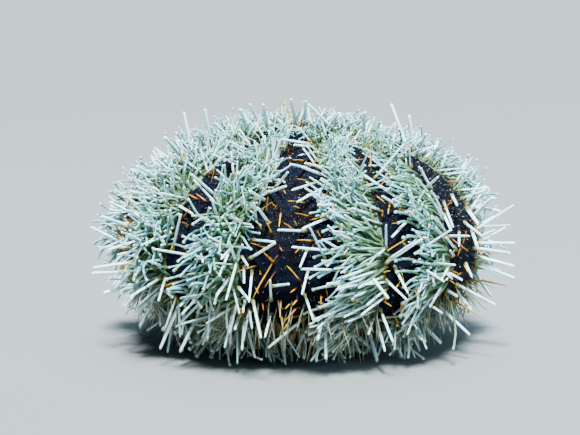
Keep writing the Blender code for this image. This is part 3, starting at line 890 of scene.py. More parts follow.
SEEN_ORANGE: Seen = (
    ((276, 258), (253, 298)), ((274, 263), (264, 253)), ((300, 281), (287, 266)), ((313, 241), (297, 240)),
    ((256, 266), (237, 272)), ((281, 212), (279, 227)), ((297, 226), (294, 221)), ((272, 234), (267, 223)),
    ((262, 230), (257, 221)), ((276, 173), (267, 160)), ((279, 165), (262, 163)), ((289, 155), (286, 142)),
    ((305, 161), (293, 160)), ((307, 181), (297, 179)), ((266, 213), (268, 197)), ((274, 210), (277, 205)),
    ((311, 217), (295, 213)), ((300, 209), (294, 206)), ((322, 203), (328, 191)), ((325, 212), (320, 218)),
    ((305, 203), (288, 201)), ((298, 307), (285, 321)), ((281, 301), (280, 317)), ((282, 314), (283, 334)),
    ((293, 317), (284, 329)), ((290, 304), (285, 309)), ((297, 300), (293, 305)), ((321, 295), (321, 305)),
    ((473, 280), (507, 286)), ((462, 303), (481, 317)), ((460, 249), (458, 256)), ((294, 128), (284, 98)),
    ((376, 196), (385, 203)), ((390, 204), (388, 214)), ((413, 288), (418, 297)), ((455, 246), (452, 258)),
    ((464, 265), (468, 272)), ((461, 273), (455, 277)), ((189, 226), (182, 222)), ((183, 218), (190, 208)),
)


@dataclass(frozen=True)
class Sightings:
    """Bristles set by what the photograph shows, each rooted on the shell."""

    view: PhotoView
    shell: Shell
    rim_girth: float = 1.60
    rim_facing: float = 0.60
    least_lift: float = 0.15
    length_shares: tuple[float, float] = (0.92, 1.08)
    curl_shares: tuple[float, float] = (0.3, 1.0)
    least_curl: float = 1e-3
    girth_shares: tuple[float, float] = (0.95, 1.25)

    def read(self, seen: Seen, habit: Habit, length: float, curl: float,
             random: np.random.Generator) -> Batch:
        """Turns pixels into bristles.

        A root lies where its pixel's ray first meets the shell, or on the rim where it just misses.
        A tip lies on its own pixel's ray, on the near side, at the bristle's length from the root.
        Where the ray passes further off than that, the bristle ends where the ray comes nearest.
        A curled bristle is the arc over the line from root to tip that bends down the slope.
        Those on the outline are stouter, as the photograph shows them.

        Args:
            seen: Pairs of root and tip pixels.
            habit: The sort's girth.
            length: The usual length.
            curl: The greatest curl.
            random: The seeded source of chance.

        Returns:
            The bristles.
        """
        eye = self.view.eye()
        pixels = np.array(seen, float)
        struck = self.shell.struck(eye, self.view.rays(pixels[:, 0]))
        turn = self.shell.turn_of(struck)
        azimuth = np.arctan2(struck[:, 1], struck[:, 0]) % math.tau
        roots = self.shell.place(turn, azimuth)
        ways = self.view.rays(pixels[:, 1])
        count = len(seen)
        size = length * random.uniform(*self.length_shares, count)
        nearest = ((roots - eye) * ways).sum(axis=1)
        miss = np.linalg.norm(eye + ways * nearest[:, None] - roots, axis=1)
        lift = np.sqrt(np.clip(size**2 - miss**2, (self.least_lift * size) ** 2, None))
        tips = eye + ways * (nearest - lift)[:, None]
        chord = unit(tips - roots)
        normal, _, down = self.shell.axes(turn, azimuth)
        facing = (normal * self.view.axes()[2]).sum(axis=1)
        stout = 1.0 + (self.rim_girth - 1.0) * smooth_step(facing, self.rim_facing, 0.0)
        across = unit(down - (down * chord).sum(axis=1, keepdims=True) * chord)
        half = np.maximum(curl * random.uniform(*self.curl_shares, count), self.least_curl)[:, None] / 2
        return Batch(
            root=roots, way=np.cos(half) * chord - np.sin(half) * across,
            curl_way=np.sin(half) * chord + np.cos(half) * across, curl=2 * half[:, 0], sway=np.zeros(count),
            length=np.linalg.norm(tips - roots, axis=1) * (half / np.sin(half))[:, 0],
            girth=habit.girth * stout * random.uniform(*self.girth_shares, count),
            turn=turn, azimuth=azimuth, tint=random.uniform(0.0, 1.0, count),
        )


class Graph:
    """Adds nodes to a tree and feeds their sockets with values or other sockets."""

    def __init__(self, tree: bpy.types.NodeTree) -> None:
        """Keeps the tree."""
        self.tree = tree

    def add(self, kind: str, **settings: object) -> bpy.types.Node:
        """Adds a node with settings."""
        node = self.tree.nodes.new(kind)
        for name, value in settings.items():
            setattr(node, name, value)
        return node

    def feed(self, socket: Socket, value: object) -> None:
        """Links a socket, or sets its value."""
        if isinstance(value, bpy.types.NodeSocket):
            self.tree.links.new(value, socket)
        elif value is not None:
            socket.default_value = value

    def math(self, operation: str, *values: object) -> Socket:
        """A sum, product or other operation on numbers."""
        node = self.add("ShaderNodeMath", operation=operation)
        for socket, value in zip(node.inputs, values):
            self.feed(socket, value)
        return node.outputs[0]

    def ramp(self, value: object, low: object, high: object,
             start: object = 0.0, stop: object = 1.0) -> Socket:
        """A smooth rise from start to stop as the value goes from low to high."""
        node = self.add("ShaderNodeMapRange", interpolation_type="SMOOTHSTEP")
        for socket, item in zip(node.inputs, (value, low, high, start, stop)):
            self.feed(socket, item)
        return node.outputs[0]

    def mix(self, share: object, first: object, second: object) -> Socket:
        """A colour between two colours."""
        node = self.add("ShaderNodeMix", data_type="RGBA")
        for index, item in ((0, share), (6, first), (7, second)):
            self.feed(node.inputs[index], (*item, 1.0) if isinstance(item, tuple) else item)
        return node.outputs[2]

    def noise(self, scale: object, detail: float = 3.0, place: Socket | None = None) -> Socket:
        """Fractal noise, of about 0 to 1, at a place."""
        node = self.add("ShaderNodeTexNoise")
        self.feed(node.inputs["Vector"], place or self.place())
        self.feed(node.inputs["Scale"], scale)
        self.feed(node.inputs["Detail"], detail)
        return node.outputs[0]

    def place(self) -> Socket:
        """Object coordinates."""
        return self.add("ShaderNodeTexCoord").outputs["Object"]

    def height(self) -> Socket:
        """The height over the floor."""
        parts = self.add("ShaderNodeSeparateXYZ")
        self.feed(parts.inputs[0], self.place())
        return parts.outputs[2]

    def value(self, name: str) -> Socket:
        """A number that the mesh holds at every vertex."""
        return self.add("ShaderNodeAttribute", attribute_name=name).outputs["Fac"]

    def lengthways(self) -> tuple[Socket, Socket]:
        """The places round and along a bristle."""
        both = self.add("ShaderNodeSeparateXYZ")
        self.feed(both.inputs[0], self.add("ShaderNodeUVMap", uv_map=LENGTH_MAP).outputs[0])
        return both.outputs[0], both.outputs[1]

    def group(self, tree: bpy.types.NodeTree, **values: object) -> bpy.types.NodeOutputs:
        """A shared group with its inputs fed by name."""
        node = self.add("ShaderNodeGroup", node_tree=tree)
        for name, value in values.items():
            self.feed(node.inputs[name], (*value, 1.0) if isinstance(value, tuple) else value)
        return node.outputs

    def bump(self, height: Socket, distance: float, strength: float = 1.0) -> Socket:
        """A normal from a height."""
        node = self.add("ShaderNodeBump")
        node.inputs["Strength"].default_value = strength
        node.inputs["Distance"].default_value = distance
        self.feed(node.inputs["Height"], height)
        return node.outputs[0]


GroupMaker = Callable[[Graph, dict[str, Socket]], dict[str, Socket]]


def shader_group(name: str, inputs: dict[str, str], outputs: dict[str, str],
                 make: GroupMaker) -> bpy.types.NodeTree:
    """Makes a shader group.

    Args:
        name: The group's name.
        inputs: The kind of every input socket, by name.
        outputs: The kind of every output socket, by name.
        make: Builds the inside, from the input sockets to the output sockets.

    Returns:
        The group.
    """
    tree = bpy.data.node_groups.new(name, "ShaderNodeTree")
    for label, kind in inputs.items():
        tree.interface.new_socket(label, in_out="INPUT", socket_type=kind)
    for label, kind in outputs.items():
        tree.interface.new_socket(label, in_out="OUTPUT", socket_type=kind)
    graph = Graph(tree)
    entry = graph.add("NodeGroupInput")
    leave = graph.add("NodeGroupOutput")
    made = make(graph, {label: entry.outputs[label] for label in inputs})
    for label, socket in made.items():
        graph.feed(leave.inputs[label], socket)
    return tree


FLOAT = "NodeSocketFloat"
COLOUR = "NodeSocketColor"


class Effects:
    """The shader groups that several finishes share."""

    def __init__(self) -> None:
        """Builds every group once."""
        self.specks = shader_group(
            "specks", {"Scale": FLOAT, "Size": FLOAT, "Share": FLOAT},
            {"Mask": FLOAT, "Choice": FLOAT}, self.make_specks,
        )
        colours = dict.fromkeys(("Root", "Collar", "Shaft"), COLOUR)
        self.sheath = shader_group(
            "sheath", {**colours, "Collar Start": FLOAT, "Collar End": FLOAT},
            {"Colour": COLOUR}, self.make_sheath,
        )
        self.grooves = shader_group(
            "grooves", {"Count": FLOAT, "Rings": FLOAT}, {"Height": FLOAT}, self.make_grooves,
        )

    @staticmethod
    def make_specks(graph: Graph, given: dict[str, Socket]) -> dict[str, Socket]:
        """Small round dots: cells nearer to their seed than the size, in a share of all cells."""
        cells = graph.add("ShaderNodeTexVoronoi")
        graph.feed(cells.inputs["Vector"], graph.place())
        graph.feed(cells.inputs["Scale"], given["Scale"])
        parts = graph.add("ShaderNodeSeparateXYZ")
        graph.feed(parts.inputs[0], cells.outputs["Color"])
        inner = graph.math("MULTIPLY", given["Size"], 0.5)
        dot = graph.ramp(cells.outputs["Distance"], given["Size"], inner)
        chosen = graph.math("LESS_THAN", parts.outputs[0], given["Share"])
        return {"Mask": graph.math("MULTIPLY", dot, chosen), "Choice": parts.outputs[1]}

    @staticmethod
    def make_sheath(graph: Graph, given: dict[str, Socket]) -> dict[str, Socket]:
        """Colour along a bristle: the root's, then the collar's, then the shaft's."""
        _, along = graph.lengthways()
        early = graph.math("MULTIPLY", given["Collar Start"], 0.4)
        low = graph.mix(graph.ramp(along, early, given["Collar Start"]), given["Root"], given["Collar"])
        middle = graph.math("MULTIPLY", given["Collar End"], 0.55)
        return {"Colour": graph.mix(graph.ramp(along, middle, given["Collar End"]), low, given["Shaft"])}

    @staticmethod
    def make_grooves(graph: Graph, given: dict[str, Socket]) -> dict[str, Socket]:
        """Height of fine ridges: a sine round the bristle plus a weaker sine along it."""
        around, along = graph.lengthways()
        ridge, ring = (
            graph.math("SINE", graph.math("MULTIPLY", graph.math("MULTIPLY", place, number), math.tau))
            for place, number in ((around, given["Count"]), (along, given["Rings"]))
        )
        return {"Height": graph.math("ADD", ridge, graph.math("MULTIPLY", ring, 0.5))}


def blank_material(name: str, **constants: object) -> tuple[bpy.types.Material, Graph, bpy.types.Node]:
    """Starts a material.

    Args:
        name: The material's name.
        constants: Values of the shader's own sockets, with underscores for spaces.

    Returns:
        The material, its graph and its shader.
    """
    material = bpy.data.materials.new(name)
    material.use_nodes = True
    shader = material.node_tree.nodes["Principled BSDF"]
    for label, value in constants.items():
        shader.inputs[label.replace("_", " ")].default_value = value
    return material, Graph(material.node_tree), shader


@dataclass(frozen=True)
class SkinFinish:
    """Moist skin: blue-black and speckled on the bands, sage green on the strips. The blue of the near-black
    bands is partly a painted sheen.
    """

    dark: Colour = (0.0014, 0.0023, 0.0062)
    brown: Colour = (0.0022, 0.0016, 0.0028)
    sage: Colour = (0.120, 0.200, 0.110)
    olive: Colour = (0.040, 0.062, 0.022)
    dots: Colour = (0.085, 0.062, 0.056)
    pores: Colour = (0.010, 0.016, 0.010)

    def material(self, effects: Effects) -> bpy.types.Material:
        """The skin's material."""
        material, graph, shader = blank_material("skin", Specular_IOR_Level=0.015)
        shader_in = shader.inputs
        ragged = graph.math("MULTIPLY", graph.math("SUBTRACT", graph.noise(700.0, 4.0), 0.5), 0.9)
        strip = graph.ramp(graph.math("ADD", graph.value(STRIP), ragged), 0.35, 0.65)
        # The bands' near-black base colour: its blue tint is partly a painted sheen.
        band = graph.mix(graph.ramp(graph.noise(140.0), 0.45, 0.70), self.dark, self.brown)
        small = graph.group(effects.specks, Scale=2100.0, Size=0.32, Share=0.42)
        above = graph.ramp(graph.height(), 0.018, 0.050, 0.20, 1.0)
        shown = graph.math("MULTIPLY", above, graph.ramp(small["Choice"], 0.0, 1.0, 0.15, 1.0))
        dotted = graph.mix(graph.math("MULTIPLY", small["Mask"], shown), band, self.dots)
        ground = graph.mix(graph.ramp(graph.noise(260.0), 0.40, 0.68), self.sage, self.olive)
        holes = graph.group(effects.specks, Scale=1300.0, Size=0.40, Share=0.45)
        pale = graph.mix(graph.math("MULTIPLY", holes["Mask"], 0.7), ground, self.pores)
        graph.feed(shader_in["Base Color"], graph.mix(strip, dotted, pale))
        graph.feed(shader_in["Roughness"], graph.ramp(graph.noise(500.0), 0.3, 0.7, 0.50, 0.72))
        relief = graph.math("ADD", graph.noise(1500.0, 4.0), graph.math("MULTIPLY", small["Mask"], 0.8))
        relief = graph.math("SUBTRACT", relief, graph.math("MULTIPLY", holes["Mask"], 0.6))
        graph.feed(shader_in["Normal"], graph.bump(relief, 0.00022))
        return material


@dataclass(frozen=True)
class SpineFinish:
    """A grooved spine with a coloured collar: chalk white, or from brown-orange to yellow."""

    name: str
    root: Colour
    collar: Colour
    shaft: Colour
    other_shaft: Colour
    tip: Colour
    tip_start: float
    tip_share: float
    collar_start: float
    collar_end: float
    grooves: float
    roughness: float
    shine: float = 0.45

    def material(self, effects: Effects) -> bpy.types.Material:
        """The spine's material."""
        material, graph, shader = blank_material(
            self.name, Roughness=self.roughness, Specular_IOR_Level=self.shine, Subsurface_Weight=0.12,
            Subsurface_Radius=(0.6, 0.7, 0.7), Subsurface_Scale=0.0008,
        )
        tint = graph.value(TINT)
        _, along = graph.lengthways()
        shaft = graph.mix(graph.ramp(tint, 0.15, 0.85), self.shaft, self.other_shaft)
        tipped = graph.math("MULTIPLY", graph.ramp(along, self.tip_start, self.tip_start + 0.25),
                            graph.math("GREATER_THAN", tint, 1.0 - self.tip_share))
        shaft = graph.mix(tipped, shaft, self.tip)
        sheath = graph.group(effects.sheath, **{
            "Root": self.root, "Collar": self.collar, "Shaft": shaft,
            "Collar Start": self.collar_start, "Collar End": self.collar_end,
        })
        ridges = graph.group(effects.grooves, Count=self.grooves, Rings=0.0)["Height"]
        # Random stains mix the spine towards its collar colour. Below a height of 0.026 m a ramp does the
        # same, which is painted shade on the lower spines.
        stain_and_height_ramp = graph.ramp(graph.noise(420.0, 4.0), 0.50, 0.80, 0.0, 0.35)
        stain_and_height_ramp = graph.math("MAXIMUM", stain_and_height_ramp, graph.ramp(graph.height(), 0.026, 0.006, 0.0, 0.30))
        colour = graph.mix(stain_and_height_ramp, sheath["Colour"], self.collar)
        # Painted shade in the grooves: the colour goes towards the root's where the ridges are low.
        groove_shade = graph.math("MULTIPLY", graph.ramp(ridges, 0.2, -1.0), 0.22)
        graph.feed(shader.inputs["Base Color"], graph.mix(groove_shade, colour, self.root))
        graph.feed(shader.inputs["Normal"], graph.bump(ridges, 0.00003))
        return material


@dataclass(frozen=True)
class FootFinish:
    """A soft tube foot: pale green-white, greener and darker towards its root, with a creamy disc. The darker
    root is partly the foot's own green base and partly painted shade deep among the feet.
    """

    root: Colour = (0.022, 0.034, 0.012)
    collar: Colour = (0.060, 0.115, 0.050)
    cool: Colour = (0.152, 0.338, 0.410)
    green: Colour = (0.086, 0.208, 0.186)
    warm: Colour = (0.215, 0.225, 0.162)
    disc: Colour = (0.300, 0.410, 0.330)
    disc_start: float = 0.955
    low: float = 0.012
    high: float = 0.030

    def material(self, effects: Effects) -> bpy.types.Material:
        """The tube feet's material."""
        material, graph, shader = blank_material(
            "tube_foot", Roughness=0.42, Specular_IOR_Level=0.5, Subsurface_Weight=0.25,
            Subsurface_Radius=(0.7, 0.9, 0.8), Subsurface_Scale=0.0010,
        )
        _, along = graph.lengthways()
        lowness = graph.ramp(graph.height(), self.high, self.low)
        shaft = graph.mix(graph.value(TINT), self.cool, self.green)
        shaft = graph.mix(graph.math("MULTIPLY", lowness, 0.85), shaft, self.warm)
        # The darker root and collar colours are partly painted shade deep among the feet, and partly the
        # feet's own green bases.
        sheath = graph.group(effects.sheath, **{
            "Root": self.root, "Collar": self.collar, "Shaft": shaft,
            "Collar Start": 0.15, "Collar End": 0.76,
        })
        disc = graph.ramp(along, self.disc_start, self.disc_start + 0.01)
        graph.feed(shader.inputs["Base Color"], graph.mix(disc, sheath["Colour"], self.disc))
        rings = graph.group(effects.grooves, Count=0.0, Rings=26.0)["Height"]
        graph.feed(shader.inputs["Normal"], graph.bump(rings, 0.00003))
        return material


@dataclass(frozen=True)
class PincerFinish:
    """Tiny pincers: cream, rust or dark heads on dim stalks."""

    stalk: Colour = (0.014, 0.011, 0.012)
    cream: Colour = (0.210, 0.175, 0.140)
    rust: Colour = (0.120, 0.036, 0.012)
    dim: Colour = (0.010, 0.010, 0.015)
    head_start: float = 0.55

    def material(self, effects: Effects) -> bpy.types.Material:
        """The pincers' material."""
        material, graph, shader = blank_material("pincer", Roughness=0.5)
        _, along = graph.lengthways()
        tint = graph.value(TINT)
        head = graph.mix(graph.ramp(tint, 0.74, 0.80), self.dim, self.rust)
        head = graph.mix(graph.ramp(tint, 0.92, 0.95), head, self.cream)
        speckle = graph.group(effects.specks, Scale=5200.0, Size=0.4, Share=0.5)["Mask"]
        head = graph.mix(graph.math("MULTIPLY", speckle, 0.4), head, self.stalk)
        above = graph.ramp(along, self.head_start - 0.1, self.head_start + 0.1)
        graph.feed(shader.inputs["Base Color"], graph.mix(above, self.stalk, head))
        graph.feed(shader.inputs["Normal"], graph.bump(graph.noise(5000.0), 0.00004))
        return material


@dataclass(frozen=True)
class LeatherFinish:
    """Wrinkled, speckled skin in two colours, for the crown, the mouth and the gills."""

    name: str
    main: Colour
    second: Colour
    dots: Colour
    scale: float
    roughness: float
    bump: float
    shine: float = 0.5

    def material(self, effects: Effects) -> bpy.types.Material:
        """The material."""
        material, graph, shader = blank_material(
            self.name, Roughness=self.roughness, Specular_IOR_Level=self.shine,
        )
        base = graph.mix(graph.ramp(graph.noise(self.scale, 4.0), 0.35, 0.68), self.main, self.second)
        specks = graph.group(effects.specks, Scale=self.scale * 7.0, Size=0.36, Share=0.4)
        dotted = graph.math("MULTIPLY", specks["Mask"], 0.6)
        graph.feed(shader.inputs["Base Color"], graph.mix(dotted, base, self.dots))
        relief = graph.math("ADD", graph.noise(self.scale * 5.0, 5.0), specks["Mask"])
        graph.feed(shader.inputs["Normal"], graph.bump(relief, self.bump))
        return material


@dataclass(frozen=True)
class IvoryFinish:
    """Polished tooth: ivory, browner towards its root."""

    ivory: Colour = (0.780, 0.740, 0.620)
    brown: Colour = (0.360, 0.270, 0.160)
    tip_height: float = 0.0065
    root_height: float = 0.0100

    def material(self) -> bpy.types.Material:
        """The teeth's material."""
        material, graph, shader = blank_material("ivory", Roughness=0.28, Coat_Weight=0.3, Coat_Roughness=0.1)
        up = graph.ramp(graph.height(), self.tip_height, self.root_height)
        stain_and_height_ramp = graph.math("MAXIMUM", up, graph.ramp(graph.noise(1200.0), 0.55, 0.8, 0.0, 0.5))
        graph.feed(shader.inputs["Base Color"], graph.mix(stain_and_height_ramp, self.ivory, self.brown))
        graph.feed(shader.inputs["Normal"], graph.bump(graph.noise(2500.0, 4.0), 0.00005))
        return material


WHITE_FINISH = SpineFinish(
    name="white_spine", root=(0.110, 0.095, 0.030), collar=(0.250, 0.275, 0.100), shaft=(0.690, 0.905, 0.980),
    other_shaft=(0.590, 0.825, 0.910), tip=(0.840, 0.960, 0.980), tip_start=0.70, tip_share=0.5,
    collar_start=0.045, collar_end=0.22, grooves=14.0, roughness=0.42,
)
BASE_FINISH = SpineFinish(
    name="base_spine", root=(0.034, 0.022, 0.010), collar=(0.082, 0.062, 0.026), shaft=(0.250, 0.220, 0.130),
    other_shaft=(0.150, 0.120, 0.070), tip=(0.400, 0.390, 0.260), tip_start=0.60, tip_share=0.4,
    collar_start=0.08, collar_end=0.30, grooves=11.0, roughness=0.45,
)
ORANGE_FINISH = SpineFinish(
    name="orange_spine", root=(0.030, 0.007, 0.002), collar=(0.130, 0.036, 0.001), shaft=(0.500, 0.150, 0.0),
    other_shaft=(0.800, 0.340, 0.0), tip=(0.850, 0.500, 0.015), tip_start=0.60, tip_share=0.25,
    collar_start=0.08, collar_end=0.24, grooves=9.0, roughness=0.45, shine=0.12,
)
CROWN_FINISH = LeatherFinish(
    name="crown_skin", main=(0.0020, 0.0026, 0.0060), second=(0.0120, 0.0085, 0.0080),
    dots=(0.090, 0.065, 0.055), scale=420.0, roughness=0.6, bump=0.00015, shine=0.06,
)
MOUTH_FINISH = LeatherFinish(
    name="mouth_skin", main=(0.270, 0.200, 0.125), second=(0.090, 0.058, 0.038), dots=(0.480, 0.400, 0.280),
    scale=300.0, roughness=0.5, bump=0.00040,
)
GILL_FINISH = LeatherFinish(
    name="gill", main=(0.300, 0.220, 0.170), second=(0.140, 0.080, 0.065), dots=(0.420, 0.340, 0.280),
    scale=700.0, roughness=0.4, bump=0.0001,
)


@dataclass(frozen=True)
class Skin:
    """The one skin over the ten fields of the shell."""

    shell: Shell
    bands: Bands
    rows: int = 190
    columns: int = 460
    depth: float = 0.00035
    swell: float = 0.00012
    plate_height: float = 0.0026
    plate_relief: float = 0.00007
    mouth_lift: float = 0.0046
    lift_margins: tuple[float, float] = (0.0015, 0.0005)

    def build(self, material: bpy.types.Material) -> None:
        """Builds the skin and puts it in place of the fields.

        The surface is the shell, moved in along its outward direction by the depth. The strips
        swell out a little, and a sine of the travel gives rows of plates. Over the mouth the
        surface is lifted, so that it stays hidden inside the membrane.
        """
        turn = np.linspace(0.0, math.pi, self.rows)[:, None] * np.ones(self.columns)
        azimuth = round_angles(self.rows, self.columns)
        normal = self.shell.axes(turn, azimuth)[0]
        radius, height = self.shell.section(turn[:, 0])
        pale = self.bands.paleness(turn, azimuth)
        plates = np.sin(math.tau * way_along(radius, height) / self.plate_height)[:, None] * np.sin(turn)
        drop = self.depth - self.swell * pale - self.plate_relief * plates
        points = self.shell.place(turn, azimuth) - drop[..., None] * normal
        inner, outer = (self.shell.mouth_radius - margin for margin in self.lift_margins)
        inside = (1.0 - smooth_step(radius, inner, outer)) * (turn[:, 0] > math.pi / 2)
        points[..., 2] += self.mouth_lift * inside[:, None]
        points[0] = points[0].mean(axis=0)
        points[-1] = points[-1].mean(axis=0)
        mesh = turned_mesh("urchin_skin", points)
        add_value(mesh, STRIP, np.concatenate((pale[1:-1].ravel(), (0.0, 0.0))))
        piece = piece_of(mesh, material)
        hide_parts(*(f"{kind}_{number + 1}" for kind in ("ambulacrum", "interambulacrum")
                             for number in range(FIELD_PAIRS)))


@dataclass(frozen=True)
class Crown:
    """The crown disc: five large plates, five small ones, and the vent among tiny plates."""

    shell: Shell
    rows: int = 60
    columns: int = 150
    lift: float = 0.00010
    depth: float = 0.0015
    ring_radius: float = 0.0034
    plate_swell: float = 0.00028
    seam_width: float = 0.10
    pore_place: float = 0.0050
    pore_radius: float = 0.00028
    pore_depth: float = 0.0003
    vent_rise: float = 0.0008
    vent_radius: float = 0.0006
    vent_depth: float = 0.0012
    tiny_plates: int = 34
    tiny_seam: float = 0.0004
    tiny_swell: float = 0.000196
    ring_edge: float = 0.9
    rim_from: float = 0.93
    base_turn: float = 0.15

    def relief(self, radius: Array, azimuth: Array) -> Array:
        """Height of the plates over the disc.

        Large plates swell by the sine of the angle across them and of the way from ring to rim.
        Each pore is a bell-shaped pit. Inside the ring, each tiny plate is a dome round its seed,
        on a low cone that sinks into the vent.
        """
        outer = np.clip((radius - self.ring_radius) / (self.shell.crown_radius - self.ring_radius), 0.0, 1.0)
        across = np.abs(np.sin((azimuth - FIRST_FIELD - FIELD_STEP / 2) * FIELD_PAIRS / 2))
        dome = np.clip(across / self.seam_width, 0.0, 1.0) ** 0.5 * np.sin(math.pi * outer) ** 0.5
        places = polar(radius, azimuth, np.zeros_like(radius))[..., None, :]
        angles = FIRST_FIELD + np.arange(FIELD_PAIRS) * FIELD_STEP
        pores = polar(self.pore_place, angles, np.zeros_like(angles))
        pits = bell(np.linalg.norm(places - pores, axis=-1), self.pore_radius).sum(axis=-1)
        random = np.random.default_rng(41)
        seed_radius = self.ring_radius * np.sqrt(random.uniform(0.04, 1.0, self.tiny_plates))
        seed_angle = random.uniform(0.0, math.tau, self.tiny_plates)
        seeds = polar(seed_radius, seed_angle, np.zeros_like(seed_angle))
        gaps = np.sort(np.linalg.norm(places - seeds, axis=-1), axis=-1)
        cells = np.clip((gaps[..., 1] - gaps[..., 0]) / self.tiny_seam, 0.0, 1.0) ** 0.5
        inner = 1.0 - smooth_step(radius, self.ring_radius * self.ring_edge, self.ring_radius)
        cone = self.vent_rise * np.clip(1.0 - radius / self.ring_radius, 0.0, 1.0)
        vent = self.vent_depth * bell(radius, self.vent_radius)
        large = self.plate_swell * dome - self.pore_depth * pits
        return large + inner * (self.tiny_swell * cells + cone) - vent

    def build(self, material: bpy.types.Material) -> None:
        """Builds the disc in place of the crown plate: a domed top that closes to a flat base."""
        share = np.linspace(0.0, 1.0, self.rows)
        radius = self.shell.crown_radius * share[:, None] * np.ones(self.columns)
        azimuth = round_angles(self.rows, self.columns)
        turn = np.arcsin(np.clip(radius / self.shell.radius, 0.0, 1.0))
        fall = self.depth * smooth_step(share, self.rim_from, 1.0)[:, None]
        height = self.shell.section(turn)[1] + self.lift + self.relief(radius, azimuth) - fall
        top = polar(radius, azimuth, height)
        base = float(self.shell.section(np.array(self.base_turn))[1]) - self.depth
        rim = top[-1] * (1.0, 1.0, 0.0) + (0.0, 0.0, base)
        pole = rim * (0.0, 0.0, 1.0)
        top[0] = top[0].mean(axis=0)
        points = np.concatenate((top, rim[None], pole[None]))
        piece = piece_of(turned_mesh("crown_disc", points), material)
        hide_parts("crown_plate")


@dataclass(frozen=True)
class Mouth:
    """The mouth membrane: folded skin round thick lips and a throat."""

    shell: Shell
    rows: int = 70
    columns: int = 180
    seat: float = 0.0050
    lip_radius: float = 0.0056
    lip_rise: float = 0.0010
    lip_width: float = 0.0011
    throat_radius: float = 0.0044
    throat_depth: float = 0.0038
    throat_edge: float = 0.0008
    folds: int = 40
    fold_depth: float = 0.00022
    wrinkles: float = 0.00010
    wrinkle_gap: float = 0.0008
    smooth_from: float = 0.96

    def build(self, material: bpy.types.Material, face: float) -> None:
        """Builds the membrane in place of its solid.

        The lower face hangs at the level where the shell ends. It bulges by a bell curve at the
        lips and is drawn up into the throat. A sine round the axis gives the folds, which fade
        towards the rim, and a sine of the radius gives finer wrinkles.

        Args:
            material: The finish.
            face: The level of the lower face.
        """
        share = np.linspace(0.0, 1.0, self.rows)[:, None]
        radius = self.shell.mouth_radius * (1.0 - share) * np.ones(self.columns)
        azimuth = round_angles(self.rows, self.columns)
        lips = self.lip_rise * bell(radius - self.lip_radius, self.lip_width)
        throat = 1.0 - smooth_step(radius, self.throat_radius - self.throat_edge, self.throat_radius)
        fade = smooth_step(radius, self.throat_radius, self.lip_radius)
        fade *= 1.0 - smooth_step(radius, self.lip_radius, self.shell.mouth_radius * self.smooth_from)
        folds = self.fold_depth * np.cos(self.folds * azimuth + 2.0 * np.sin(5.0 * azimuth))
        rings = self.wrinkles * np.sin(radius / self.wrinkle_gap * math.tau + 1.5 * np.sin(7.0 * azimuth))
        height = face - lips + self.throat_depth * throat + (folds + rings) * fade
        lower = polar(radius, azimuth, height)
        lower[-1] = lower[-1].mean(axis=0)
        rim = lower[0] * (1.0, 1.0, 0.0) + (0.0, 0.0, face + self.seat)
        pole = rim * (0.0, 0.0, 1.0)
        points = np.concatenate((pole[None], rim[None], lower))
        piece = piece_of(turned_mesh("mouth_folds", points), material)
        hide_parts("mouth_membrane")


@dataclass(frozen=True)
class Teeth:
    """Five curved teeth that hang in the throat: keeled blades that end in a chisel edge."""

    rows: int = 26
    columns: int = 24
    rise: float = 0.0041
    length: float = 0.0056
    root_place: float = 0.0024
    tip_place: float = 0.0009
    bow: float = 0.0004
    root_width: float = 0.00090
    tip_width: float = 0.00042
    root_thickness: float = 0.00058
    tip_thickness: float = 0.00009
    keel: float = 0.65
    bevel: float = 0.0007

    def build(self, material: bpy.types.Material, face: float) -> None:
        """Builds the teeth in place of their solids.

        Rings are carried down a middle line that leans in to the axis and bows out by a sine of
        the share. Each ring is an oval, wide across and thin towards the axis, and narrows from
        root to tip. A power of the cosine draws its inner side out into a keel. A power of the
        share lifts the inner side at the tip, which leaves a cutting edge on the outer side.

        Args:
            material: The finish.
            face: The level of the membrane's lower face.
        """
        share = np.linspace(0.0, 1.0, self.rows)[:, None]
        around = np.linspace(0.0, math.tau, self.columns, endpoint=False)[None]
        inward = np.clip(-np.cos(around), 0.0, 1.0)
        middle = self.root_place + (self.tip_place - self.root_place) * share
        middle = middle + self.bow * np.sin(math.pi * share)
        thick = self.root_thickness + (self.tip_thickness - self.root_thickness) * share**0.8
        outward = middle + thick * (np.cos(around) - self.keel * inward**6)
        across = (self.root_width + (self.tip_width - self.root_width) * share) * np.sin(around)
        lifted = self.bevel * share**8 * (1.0 - np.cos(around)) / 2
        height = face + self.rise - self.length * share + lifted
        for number in range(FIELD_PAIRS):
            angle = FIRST_FIELD + (number + 0.5) * FIELD_STEP
            blade = (
                outward[..., None] * (math.cos(angle), math.sin(angle), 0.0)
                + across[..., None] * (-math.sin(angle), math.cos(angle), 0.0)
                + height[..., None] * (0.0, 0.0, 1.0)
            )
            ends = np.repeat(blade[[0, -1]].mean(axis=1, keepdims=True), self.columns, axis=1)
            points = np.concatenate((ends[:1], blade, ends[1:]))
            piece = piece_of(turned_mesh(f"tooth_blade_{number + 1}", points), material)
            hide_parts(f"tooth_{number + 1}")


def beside_middles(shift: float, apart: float) -> Array:
    """Angles before and after the middle of every field, which is a wide band, or a shift from it."""
    middles = FIRST_FIELD + (np.arange(FIELD_PAIRS) + shift) * FIELD_STEP
    return np.concatenate((middles - apart, middles + apart))


